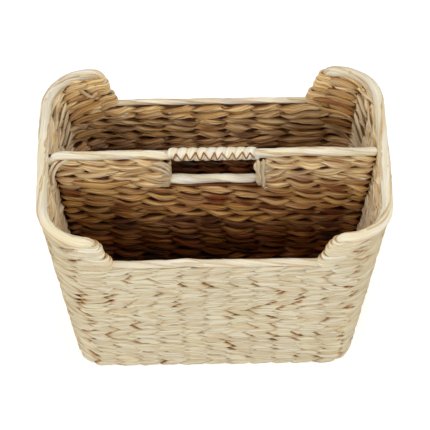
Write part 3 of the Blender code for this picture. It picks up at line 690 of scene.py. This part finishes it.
class RACK_OT_stage(bpy.types.Operator):
    """Make the floor, the soft studio light and the camera"""

    bl_idname = "rack.stage"
    bl_label = "Stage"

    def execute(self, context):
        scene = context.scene
        mesh = bpy.data.meshes.new("floor")
        corners = [(x * FLOOR_HALF, y * FLOOR_HALF, 0) for x, y in ((-1, -1), (1, -1), (1, 1), (-1, 1))]
        mesh.from_pydata(corners, [], [(0, 1, 2, 3)])
        mesh.materials.append(self.studio_floor(scene.rack_colours))
        floor = bpy.data.objects.new("floor", mesh)
        scene.collection.objects.link(floor)

        scene.world = bpy.data.worlds.new("studio")
        tree = empty_tree(scene.world)
        seen = add_node(tree, "LightPath").outputs["Is Camera Ray"]
        soft = add_node(tree, "Background", {"Color": WHITE, "Strength": 0.32})
        plain = add_node(tree, "Background", {"Color": WHITE, "Strength": 1.0})
        add_node(tree, "OutputWorld", {"Surface": add_node(tree, "MixShader", {0: seen, 1: soft, 2: plain})})

        for name, place, power, side in LIGHTS:
            data = bpy.data.lights.new(name, "AREA")
            data.energy = power
            data.size = side
            lamp = bpy.data.objects.new(name, data)
            lamp.location = place
            lamp.rotation_euler = (Vector(LIT_PLACE) - Vector(place)).to_track_quat("-Z", "Y").to_euler()
            scene.collection.objects.link(lamp)

        data = bpy.data.cameras.new("camera")
        data.sensor_fit = "HORIZONTAL"
        data.sensor_width = SENSOR_MM
        data.lens = SENSOR_MM * FOCAL_PIXELS / PHOTO_PIXELS
        data.clip_end = 20
        camera = bpy.data.objects.new("camera", data)
        matrix = Matrix.Translation(CAMERA_TARGET)
        for angle, axis in ((CAMERA_AZIMUTH, "Z"), (90 - CAMERA_ELEVATION, "X"), (CAMERA_ROLL, "Z")):
            matrix = matrix @ Matrix.Rotation(math.radians(angle), 4, axis)
        camera.matrix_world = matrix @ Matrix.Translation((0, 0, CAMERA_DISTANCE))
        scene.collection.objects.link(camera)
        scene.camera = camera
        scene.view_settings.view_transform = "Standard"
        return {"FINISHED"}

    def studio_floor(self, colours):
        """Matt paper sweep that glows a little to the camera, so that it looks as pale as in a studio."""
        material = bpy.data.materials.new("studio_floor")
        tree = empty_tree(material)
        seen = add_node(tree, "LightPath").outputs["Is Camera Ray"]
        shade = add_node(tree, "BsdfDiffuse", {"Color": tuple(colours.floor)})
        glow = add_node(tree, "Emission", {"Color": WHITE, "Strength": 0.27})
        both = add_node(tree, "AddShader", {0: shade, 1: glow})
        add_node(tree, "OutputMaterial", {"Surface": add_node(tree, "MixShader", {0: seen, 1: shade, 2: both})})
        return material


class RACK_OT_wall(bpy.types.Operator):
    """Twine the rows of the four walls round their stakes"""

    bl_idname = "rack.wall"
    bl_label = "Wall rows"

    def execute(self, context):
        size, weave = context.scene.rack_size, context.scene.rack_weave
        rng = np.random.default_rng(SEEDS["wall"])
        place = wall_place(size, weave)
        numbers = stake_numbers(weave)
        total = numbers[-1]
        pitch = size.rim_height / weave.wall_rows
        low_rows = int((size.rim_height - size.dip_depth) / pitch)
        edges = row_edges(rng, weave.wall_rows, 0.0, pitch, 0.0011, total / 2.6)
        whole = 0.5 + np.arange(total * STEPS_A_STITCH) / STEPS_A_STITCH
        for number, band in enumerate(np.array_split(np.arange(low_rows), 4), 1):
            strands = Strands()
            for row in band:
                slant = -1 if rng.uniform() < 0.75 else 1
                twine_row(strands, rng, weave, place, whole, edges(row, whole / total), slant, True,
                          **self.traits(numbers, whole))
            self.paint_wall_light_and_shade(size, strands)
            strands.build(context, f"wall_rows_{number}", TWINED, ("wall_weave",))

        strands = Strands()
        front_middle, rear_middle = (weave.front_stakes - 1) / 2, numbers[4] + (weave.rear_stakes - 1) / 2
        for row in range(low_rows, weave.wall_rows):
            height = pitch * (row + 0.5)
            half_width, _, corner = plan(size, height)
            front = step_side(size, height, size.front_foot, size.front_head) / (half_width - corner)
            rear = step_side(size, height, size.rear_foot, size.rear_head) / (half_width - corner)
            front_half, rear_half = front_middle * front, (rear_middle - numbers[4]) * rear
            for start, end in (
                (front_middle + front_half, rear_middle - rear_half),
                (rear_middle + rear_half, total + front_middle - front_half),
            ):
                run = stake_run(start, end)
                twine_row(strands, rng, weave, place, run, edges(row, run / total), -1 if row % 2 else 1,
                          **self.traits(numbers, run))
        self.paint_wall_light_and_shade(size, strands)
        strands.build(context, "wall_rows_top", TWINED, ("wall_weave",))

        # A thin dark sheet in the middle of the walls: painted shade seen through the chinks between strands
        strands = Strands()
        share = np.array([1, 0.5, 0, 0, 0.5, 1])
        height = SHADE_SHEET_FOOT + (self.tops(size, weave, whole)[:, None] - SHADE_SHEET_FOOT) * share
        grid = place(whole[:, None] + 0 * height, height, SHADE_SHEET_HALF * np.array([1, 1, 1, -1, -1, -1]))
        strands.add(grid, whole * 0.03, math.tau * share, -0.3, 0.9, 1, True)
        strands.build(context, "wall_core", TWINED, ("wall_weave",))
        return {"FINISHED"}

    def traits(self, numbers, places):
        """Four traits of the work at stake numbers, each 0 to 1. Worn is 1 at the middle of each corner,
        where the work bends most and where its outside tone is darkened as painted shade. Full is 1 along
        the left and right walls. Shift is 1 from a rear post to the next stake of the rear wall, so that
        the strands turn sharply at the post. Tight is 1 at a rear post."""
        turn = np.mod(places, numbers[-1])[:, None]
        corners = (numbers[1:-1:2] + numbers[2::2]) / 2
        to_corner = np.abs(turn - corners).min(-1)
        to_side = np.maximum(numbers[[2, 6]] - turn, turn - numbers[[3, 7]]).min(-1)
        to_shift = np.abs(turn - (numbers[3] + 1.5, numbers[6] - 0.5)).min(-1)
        to_post = np.abs(turn - numbers[[3, 6]] - 1).min(-1)
        near = ramp(to_shift, 1.6, 0.7)
        return {
            "worn_and_shaded": np.clip(1.7 - to_corner, 0, 1),
            "full": np.clip(1 - to_side, 0, 1),
            "shift": near * near * (3 - 2 * near),
            "tight": np.clip(1.25 - 1.6 * to_post, 0, 1),
        }

    def paint_wall_light_and_shade(self, size, strands):
        """Paint light and shade on the walls: the inside of the left and right walls paler and less creased,
        from corner post to corner post, and the inside of the rear wall lighter towards its top, most of all
        at its shoulders, all painted light; the outside darker at the sides, which is painted shade."""
        for points, looks in zip(strands.points, strands.looks):
            across, along, height = np.abs(points[:, 0]), points[:, 1], points[:, 2]
            half_width, half_depth, _ = plan(size, height)
            within = looks[:, 1].copy()
            side = ramp(across - np.abs(along) - half_width + half_depth, -0.0015, 0.0015)
            pale = within * side
            rear = within * (1 - side) * (along > 0) * ramp(height, 0.10, 0.22)
            shoulder = rear * ramp(across, 0.105, 0.125)
            # Painted light inside the side walls and the upper rear wall, painted shade on the outside towards the
            # sides
            looks[:, 0] += 1.30 * pale + 0.75 * rear + 0.35 * shoulder
            looks[:, 0] -= 1.10 * (1 - within) * ramp(across, 0.160, 0.180)
            looks[:, 2] *= 1 - 0.75 * pale - 0.12 * rear
            looks[:, 1] -= 0.60 * pale + 0.22 * rear + 0.08 * shoulder

    def tops(self, size, weave, numbers):
        """Height of the wall's top at each stake number: low in the dips and high elsewhere."""
        low = size.rim_height - size.dip_depth
        middle = low + size.dip_depth / 2
        place = wall_place(size, weave)(numbers, middle, 0)
        in_front = place[:, 1] < 0
        half = step_side(size, middle, np.where(in_front, size.front_foot, size.rear_foot),
                         np.where(in_front, size.front_head, size.rear_head))
        return np.interp(np.abs(place[:, 0]) - half, (-0.006, 0.008), (low, size.rim_height))


class RACK_OT_divider(bpy.types.Operator):
    """Twine the rows of the divider, with the hand slot left open"""

    bl_idname = "rack.divider"
    bl_label = "Divider rows"

    def execute(self, context):
        size, weave = context.scene.rack_size, context.scene.rack_weave
        rng = np.random.default_rng(SEEDS["divider"])
        spacing = weave.divider_spacing
        place = divider_place(spacing)
        foot = 0.0095
        top = size.rim_height - weave.divider_roll * 0.7
        pitch = (top - foot) / weave.divider_rows
        slot_low = size.rim_height - size.slot_depth - weave.lip_roll
        open_half = (size.slot_length / 2 + 0.004) / spacing
        edges = row_edges(rng, weave.divider_rows, foot, pitch, 0.0021, size.rim_width / spacing / 2.2)
        for name, rows in zip(("lower", "upper"), np.array_split(np.arange(weave.divider_rows), 2)):
            strands = Strands()
            for row in rows:
                height = foot + pitch * (row + 0.5)
                half = (plan(size, height)[0] - 0.0045) / spacing
                slant = -1 if rng.uniform() < 0.75 else 1
                below = height + pitch * 0.3 < slot_low
                for start, end in ((-half, half),) if below else ((-half, -open_half), (open_half, half)):
                    run = stake_run(start, end)
                    twine_row(strands, rng, weave, place, run, edges(row, run * spacing / size.rim_width), slant,
                              calm=False, unruly=1.3)
            # Painted light: the divider's strands are lighter, paler and less shaded in their crevices towards its
            # top, and lighter still to the left
            for points, looks in zip(strands.points, strands.looks):
                pale = ramp(points[:, 2], 0.215, 0.250)
                looks[:, 0] += 0.40 * pale + 0.70 * pale * ramp(-points[:, 0], 0, 0.08)
                looks[:, 2] *= 1 - 0.25 * pale
                looks[:, 1] = 1 - 0.38 * pale
            strands.build(context, f"divider_rows_{name}", TWINED, ("divider_weave",))

        # Thin dark sheets in the middle of the divider: painted shade seen through the chinks between strands
        strands = Strands()
        side = size.slot_length / 2 + 0.006
        out = SHADE_SHEET_HALF * np.array([1, 1, -1, -1])
        for left, right, high in ((-1, -side, top), (-side, side, slot_low), (side, 1, top)):
            foot_x, head_x = (np.clip([left, right], *(plan(size, end)[0] * np.array([-1, 1])))
                              for end in (foot, high))
            x = np.stack([head_x, foot_x, foot_x, head_x], -1)
            grid = np.stack(np.broadcast_arrays(x, -out, [high, foot, foot, high]), -1)
            strands.add(grid, np.array([-0.1, 0.1]), math.tau * np.array([0, 0.25, 0.5, 0.75]), *SHADE_SHEET_LOOKS)
        strands.build(context, "divider_core", TWINED, ("divider_weave",))
        return {"FINISHED"}


class RACK_OT_base(bpy.types.Operator):
    """Twine the rows of the base"""

    bl_idname = "rack.base"
    bl_label = "Base rows"

    def execute(self, context):
        size, weave = context.scene.rack_size, context.scene.rack_weave
        rng = np.random.default_rng(SEEDS["base"])
        spacing, inset = weave.base_spacing, 0.004
        place = base_place(spacing, 0.0056)
        half_width, half_depth, corner = plan(size, 0)
        half_width, half_depth = half_width - inset, half_depth - inset
        pitch = 2 * half_depth / weave.base_rows
        edges = row_edges(rng, weave.base_rows, -half_depth, pitch, 0.0010, size.base_width / spacing / 2.2)
        strands = Strands()
        for row in range(weave.base_rows):
            way = -half_depth + pitch * (row + 0.5)
            past = max(0, abs(way) - half_depth + corner)
            reach = half_width - corner + math.sqrt(corner ** 2 - past ** 2)
            run = stake_run(-reach / spacing, reach / spacing)
            twine_row(strands, rng, weave, place, run, edges(row, run * spacing / size.base_width),
                      1 if row % 2 else -1)
        strands.build(context, "base_rows", TWINED, ("base_weave",))

        # A thin dark ring in the base: painted shade seen through the chinks between strands
        strands = Strands()
        whole = np.linspace(0, stake_numbers(weave)[-1], 240, endpoint=False)
        height = np.array([[0.0048], [0.0064]])
        grid = wall_place(size, weave)(whole + 0 * height, height, -0.0012)
        strands.add(grid, height[:, 0], math.tau * whole / whole[-1], *SHADE_SHEET_LOOKS)
        strands.build(context, "base_core", TWINED, ("base_weave",))
        return {"FINISHED"}


class RACK_OT_edges(bpy.types.Operator):
    """Bind the rim, the divider's edge and the lip of the hand slot"""

    bl_idname = "rack.edges"
    bl_label = "Bound edges"

    def execute(self, context):
        size, weave = context.scene.rack_size, context.scene.rack_weave
        rng = np.random.default_rng(SEEDS["edges"])
        points, outward = rim_track(size)
        strands = Strands()
        for part in stretches(points[:, 2] > size.rim_height - 0.016):
            laid_roll(strands, rng, points[part], outward[part], weave.rim_roll, weave.lay, taper=0.020)
        low = size.rim_height - size.dip_depth
        for part in stretches(points[:, 2] < low + 0.006):
            rear = points[part[0], 1] > 0
            line = points[part]
            line[:, 2] += 0.0026 if rear else 0.0016 + 0.0030 * np.exp(-((line[:, 0] + 0.033) / 0.013) ** 2)
            radius = weave.rim_roll * (0.56 if rear else 0.70)
            laid_roll(strands, rng, line, outward[part], radius, weave.lay * 0.5, tone=0.5)
            if rear:
                for looks in strands.looks[-3:]:
                    looks[:, :2] += (0.4, 0.15)
        strands.build(context, "rim_strands", BOUND, ("rim_binding",))

        # The divider's roll has a hump on the right, and its left end bends down over the rim
        reach = size.rim_width / 2 - 0.003
        x = np.arange(-reach, reach, LINE_STEP)
        bend = ramp(-x, 0.180, 0.197) ** 2
        hump = 0.0022 * np.exp(-((x - 0.115) / 0.030) ** 2)
        z = size.rim_height + hump + 0.0006 * wander(rng, (x + reach) / (2 * reach), 9) - 0.011 * bend
        strands = Strands()
        line = np.stack([x, -0.005 * bend, z], -1)
        laid_roll(strands, rng, line, TO_FRONT, weave.divider_roll, weave.lay * 0.7)
        strands.build(context, "divider_edge_strands", BOUND, ("divider_binding",))

        strands = Strands()
        half = size.slot_length / 2 + 0.006
        x = np.arange(-half, half, LINE_STEP)
        line = np.stack([x, 0 * x, size.rim_height - size.slot_depth + 0 * x], -1)
        radius = weave.lip_roll * (1 + 0.22 * np.exp(-((x + 0.036) / 0.016) ** 2))
        laid_roll(strands, rng, line, TO_FRONT, radius, weave.lay * 0.42, tone=1.0, core=0.42)
        for looks in strands.looks:
            looks[:, 2] *= 0.45
        strands.build(context, "slot_lip_strands", BOUND, ("slot_lip",))
        return {"FINISHED"}


class RACK_OT_handle(bpy.types.Operator):
    """Wind the strip round the handle and lash its front in a zigzag"""

    bl_idname = "rack.handle"
    bl_label = "Handle winding"

    def execute(self, context):
        size, weave = context.scene.rack_size, context.scene.rack_weave
        rng = np.random.default_rng(SEEDS["handle"])
        strip_radius, lashing_lift = 0.0054, 0.0025

        def round_bar(x, angle, radius):
            """Points round the divider's bar, with an angle of 0 in front, and their directions."""
            outward = np.stack([0 * angle, -np.cos(angle), np.sin(angle)], -1)
            return outward * radius + np.stack([x, 0 * x, size.rim_height + 0 * x], -1), outward

        pitch = 1.02 * size.slot_length / weave.handle_turns
        turn = np.linspace(0, weave.handle_turns, int(weave.handle_turns * 30) + 1)
        route = round_bar(pitch * (turn - weave.handle_turns / 2), math.tau * turn, strip_radius)
        strands = Strands()
        strap(strands, rng, *route, pitch * 0.52, 0.0026, 0.75, boxiness=2.05)
        strands.build(context, "handle_strip", BOUND, ("handle_winding",))

        strands = Strands()
        number = 2 * round(size.slot_length / 0.0108)
        knots = np.arange(number + 1)
        x = (knots / number - 0.5) * (size.slot_length - 0.002) + 0.0012 * rng.normal(size=number + 1).clip(-1, 1)
        high = np.radians(np.where(knots % 2, 64, -10) + 5 * rng.normal(size=number + 1))
        fine = np.linspace(0, number, number * 8 + 1)
        route = round_bar(np.interp(fine, knots, x), np.interp(fine, knots, high), strip_radius + lashing_lift)
        # A thin brown strand along the zigzag: its brown stands partly for a stain and partly for painted shade
        # between the wraps
        strap(strands, rng, *route, 0.0008, 0.0006, -0.2, 1.0)
        strands.build(context, "handle_lashing", BOUND, ())
        return {"FINISHED"}


class RACK_OT_slot(bpy.types.Operator):
    """Turn the divider's rows round the two ends of the hand slot and tie them"""

    bl_idname = "rack.slot_ends"
    bl_label = "Slot ends"

    def execute(self, context):
        size = context.scene.rack_size
        rng = np.random.default_rng(SEEDS["slot"])
        bar = size.rim_height - size.slot_depth
        for hand, way in (("left", -1), ("right", 1)):
            strands = Strands()

            def to_world(beyond, height, out):
                """A place by the way beyond the slot's end, the height and the way out to the front."""
                return np.stack([(size.slot_length / 2 + 0.0055 + beyond) * way, -out, height], -1)

            for index in range(5):
                reach = rng.uniform(0.014, 0.024, 2)
                far = rng.uniform(-0.004, 0.004, 2)
                turned_end(strands, rng, to_world, bar - 0.004 + 0.0088 * index, far, reach,
                           bulge=0.0042, tall=0.0054, thick=0.0014, radius=0.0044, tone=0.8)
            for looks in strands.looks:
                looks[:, 1] = 0.35
            strands.build(context, f"slot_end_{hand}", TWINED, (f"slot_wrap_{hand}",))

        # Ties at the slot's ends: X and Z of their knots in mm, three on the left and three on the right
        strands = Strands()
        for route in (
            ((-74, 279), (-64, 277), (-56, 270), (-52.5, 260)),
            ((-69, 280), (-60, 279), (-53.5, 274), (-51.2, 266)),
            ((-77, 272), (-67, 269), (-58, 263), (-52.5, 254)),
            ((52, 283), (53, 273), (52.5, 262), (55, 250), (54, 239)),
            ((58.5, 283), (59, 270), (58, 258), (59.5, 245), (60, 228)),
            ((50, 278), (49, 272), (50, 265), (53, 259)),
        ):
            x, z = np.array(route, float).T
            y = -6.8 - np.sin(math.pi * np.linspace(0, 1, len(route)))
            strap(strands, rng, smooth_line(np.stack([x, y, z], -1), 30), TO_FRONT, 0.0021, 0.0008, 1.0, 0.35)
        strands.build(context, "slot_ties", BOUND, ())
        return {"FINISHED"}


class RACK_OT_steps(bpy.types.Operator):
    """Turn the ends of the high rows back round the edges of the dips, in two rounded bumps a step"""

    bl_idname = "rack.steps"
    bl_label = "Dip steps"

    def execute(self, context):
        size = context.scene.rack_size
        rng = np.random.default_rng(SEEDS["steps"])
        low = size.rim_height - size.dip_depth
        # A wall's name, dip and side, with its turns in each bump, their half heights and their droop
        for wall, foot, head, side, counts, talls, droop in (
            ("front", size.front_foot, size.front_head, -1, (3, 4), (0.0040, 0.0060), 0.009),
            ("rear", size.rear_foot, size.rear_head, 1, (2, 3), (0.0056, 0.0074), 0.016),
        ):
            for hand, way in (("left", -1), ("right", 1)):
                strands = Strands()

                def to_world(beyond, height, out):
                    """A place by the way beyond the dip's edge, the height and the way out of the wall."""
                    x = step_side(size, height, foot, head) + beyond
                    y = plan(size, height)[1] + out
                    return np.stack([x * way, y * side, height], -1)

                for middle, half, number in zip((low + 0.0105, low + 0.0355), (0.0105, 0.0140), counts):
                    for index in range(number):
                        rank = 2 * (index + 0.5) / number - 1
                        height = middle + 0.86 * half * rank
                        bulge = 0.0042 + 0.0034 * math.sqrt(1 - rank ** 2)
                        reach = rng.uniform(0.020, 0.036, 2)
                        far = rng.uniform(-0.004, 0.004, 2) + np.array([0.003 * rank, -droop])
                        tall = rng.uniform(*talls)
                        turned_end(strands, rng, to_world, height + rng.uniform(-0.001, 0.001), far, reach,
                                   bulge * rng.uniform(0.8, 1.15), tall, 0.0024, 0.0046, rng.uniform(0.9, 1.4))
                for looks in strands.looks:
                    looks[:, 1:] *= (0.75, 0.7)
                strands.build(context, f"step_turns_{wall}_{hand}", TWINED, ())
        return {"FINISHED"}


class RACK_OT_loose(bpy.types.Operator):
    """Lay the loose strands and cut ends that stand out of the work"""

    bl_idname = "rack.loose_ends"
    bl_label = "Loose ends"

    def execute(self, context):
        size = context.scene.rack_size
        rng = np.random.default_rng(SEEDS["loose"])
        strands = Strands()
        # Loose strands: knots in mm, outward direction, and half width and thickness in mm
        for knots, outward, wide, thick in (
            (((-170, -5.2, 284.5), (-179, -8.5, 283), (-185, -12.5, 279), (-189, -18, 272), (-190, -24, 261)),
             (0.4, -1.0, 0.4), 2.2, 1.0),
            (((-182, -5.5, 283), (-189, -11, 278), (-192.5, -18, 268), (-191.5, -26, 252)),
             (0.6, -1.0, 0.3), 4.0, 1.2),
            (((-56, -124.5, 237.5), (-45, -125.8, 239), (-33, -126.2, 241), (-20, -125.8, 239),
              (-10, -124.5, 237.5)), (0.0, -1.0, 0.6), 2.2, 1.2),
            (((-148, 126.2, 289), (-140, 126.2, 288), (-133.5, 125, 283), (-130.5, 122.5, 274),
              (-133, 119.5, 266)), (0.6, -0.6, 0.5), 3.8, 2.0),
        ):
            strap(strands, rng, smooth_line(knots, 40), outward, wide * MM, thick * MM, 0.55, 0.2)
        # Cut ends: start and end in mm
        for knots in (
            ((174.5, -6, 242), (182, -8.5, 245)),
            ((60, -7, 258), (64.5, -8.5, 264)),
            ((60, -7, 227), (64, -9.5, 233)),
            ((-113, 108, 226), (-106, 106, 229)),
            ((-108, 108, 232), (-103, 106, 235)),
            ((-54, 108, 231), (-50, 106, 235)),
        ):
            strap(strands, rng, smooth_line(knots, 8), (0.0, -1.0, 0.5), 0.0014, 0.0005, 1.3)
        strands.build(context, "loose_ends", BOUND, ())

        # Strands that slant inside the rear shoulders: first and last stake number, first and last height
        # and half width in mm, tone, and how golden
        place = wall_place(size, context.scene.rack_weave)
        share = np.linspace(0, 1, 30)
        strands = Strands()
        for first, last, foot, head, wide, tone, within in (
            (18.12, 17.12, 276.5, 273.5, 7.5, 1.0, 0.75), (17.95, 17.05, 265.5, 267.0, 3.4, 1.3, 0.6),
            (18.20, 17.08, 260.0, 254.5, 6.6, 0.8, 0.9), (18.25, 17.05, 249.0, 244.0, 5.2, 0.8, 0.9),
            (18.65, 17.03, 245.0, 236.5, 5.2, 0.1, 1.0), (18.05, 17.00, 232.5, 229.0, 5.2, 0.8, 1.0),
            (18.40, 17.00, 230.0, 219.0, 4.6, 1.0, 1.0), (18.30, 17.00, 207.5, 208.5, 5.6, 0.0, 1.0),
            (26.95, 26.10, 275.5, 277.0, 6.8, 1.2, 0.7), (27.05, 26.20, 265.5, 269.0, 5.6, 1.1, 0.8),
            (26.95, 26.05, 256.0, 261.0, 5.2, 0.6, 0.9), (26.92, 25.90, 243.0, 250.0, 5.0, 1.0, 0.9),
            (27.05, 25.70, 226.5, 245.0, 7.2, 0.9, 1.0), (26.95, 25.60, 216.0, 225.0, 5.2, 0.5, 1.0),
            (27.00, 25.80, 192.5, 194.0, 6.0, 1.1, 0.9), (17.05, 16.25, 264.0, 248.0, 4.4, 1.4, 0.3),
            (17.02, 16.15, 250.0, 230.0, 4.6, 1.4, 0.3), (17.02, 16.20, 232.0, 214.0, 4.6, 1.4, 0.3),
            (17.02, 16.30, 214.0, 200.0, 4.4, 1.4, 0.3), (16.60, 15.40, 270.0, 262.0, 4.2, 1.4, 0.3),
            (27.45, 28.60, 270.0, 262.0, 4.2, 1.4, 0.3), (26.98, 27.85, 258.0, 240.0, 4.4, 1.4, 0.3),
            (26.98, 27.80, 242.0, 222.0, 4.6, 1.4, 0.3), (27.00, 27.85, 224.0, 206.0, 4.6, 1.4, 0.3),
            (27.02, 27.80, 206.0, 193.0, 4.4, 1.4, 0.3),
        ):
            stake = first + (last - first) * share
            level = (foot + (head - foot) * share) * MM + rng.uniform(-0.0014, 0.0014) * np.sin(math.tau * share)
            points = place(stake, level, -0.0046 - 0.0042 * np.sin(math.pi * share) ** 0.6)
            outward = unit(place(stake, level, -0.010) - place(stake, level, -0.005))
            half_wide = wide * MM * np.sin(np.linspace(0.3, math.pi - 0.3, len(share))) ** 0.6
            strap(strands, rng, points, outward, half_wide, 0.0017, tone, within)
        knots = place(np.array([26.45, 26.01, 25.78]), np.array([0.2740, 0.2580, 0.2670]), -0.0100) / MM
        strap(strands, rng, smooth_line(knots, 24), (0.0, -1.0, 0.2), 0.0026, 0.0012, 1.0, 0.5)
        strands.build(context, "shoulder_strands", TWINED, ())

        # The fat strand on the divider, a dark strand at its left end and a dark one under the slot's lip, which
        # paints the shade under the lip
        strands = Strands()
        knots = ((-172, -5, 244), (-155, -6.8, 240), (-133, -7.2, 237), (-116, -6.8, 239), (-98, -5, 243))
        half_wide = 0.0062 * np.sin(np.linspace(0.35, math.pi - 0.35, 40))
        strap(strands, rng, smooth_line(knots, 40), TO_FRONT, half_wide, 0.0024, 0.8, 1.0)
        knots = ((-176, -6, 285), (-185, -10.5, 279), (-190.5, -15.5, 269), (-192.5, -21.5, 253))
        strap(strands, rng, smooth_line(knots, 30), (0.5, -1.0, 0.3), 0.0026, 0.0012, -0.1, 1.0)
        # Painted shade: a thin dark strand under the slot's lip
        half = size.slot_length / 2 + 0.004
        x = np.linspace(-half, half, 40)
        points = np.stack([x, 0 * x - 0.0046, 0 * x + size.rim_height - size.slot_depth - 0.0062], -1)
        strap(strands, rng, points, TO_FRONT, 0.0016, 0.0012, -0.3, 1.0)
        strands.build(context, "fat_strand", TWINED, ())
        return {"FINISHED"}


class RACK_OT_wires(bpy.types.Operator):
    """Give the wires of the frame their lacquer"""

    bl_idname = "rack.wires"
    bl_label = "Wire finish"

    def execute(self, context):
        material = lacquered_iron(context.scene.rack_colours)
        wires = {row["node"] for row in frame["record"]["subparts"] if row["material_slot"] == "iron_wire"}
        for name in sorted(wires):
            for slot in frame["nodes"][name].material_slots:
                slot.material = material
        return {"FINISHED"}


OPERATORS = (
    RACK_OT_stage, RACK_OT_wall, RACK_OT_divider, RACK_OT_base, RACK_OT_edges, RACK_OT_handle,
    RACK_OT_slot, RACK_OT_steps, RACK_OT_loose, RACK_OT_wires,
)
GROUPS = (("rack_size", RackSize), ("rack_weave", RackWeave), ("rack_colours", RackColours))


class RACK_PT_panel(bpy.types.Panel):
    """Lists the rack's sizes and the steps that build it"""

    bl_label = "Woven Rack"
    bl_idname = "RACK_PT_panel"
    bl_space_type = "VIEW_3D"
    bl_region_type = "UI"
    bl_category = "Rack"

    def draw(self, context):
        for group, kind in GROUPS:
            box = self.layout.box()
            for name in kind.__annotations__:
                box.prop(getattr(context.scene, group), name)
        for operator in OPERATORS:
            self.layout.operator(operator.bl_idname)


def register():
    """Register the classes and hang the property groups on the scene."""
    for _, kind in GROUPS:
        bpy.utils.register_class(kind)
    for kind in (*OPERATORS, RACK_PT_panel):
        bpy.utils.register_class(kind)
    for group, kind in GROUPS:
        setattr(bpy.types.Scene, group, PointerProperty(type=kind))


def unregister():
    """Take the property groups and the classes away again."""
    for group, _ in GROUPS:
        delattr(bpy.types.Scene, group)
    for kind in (RACK_PT_panel, *reversed(OPERATORS)):
        bpy.utils.unregister_class(kind)
    for _, kind in reversed(GROUPS):
        bpy.utils.unregister_class(kind)


def main():
    """Build the whole rack."""
    register()
    for operator in OPERATORS:
        family, step = operator.bl_idname.split(".")
        getattr(getattr(bpy.ops, family), step)()


if __name__ == "__main__":
    main()
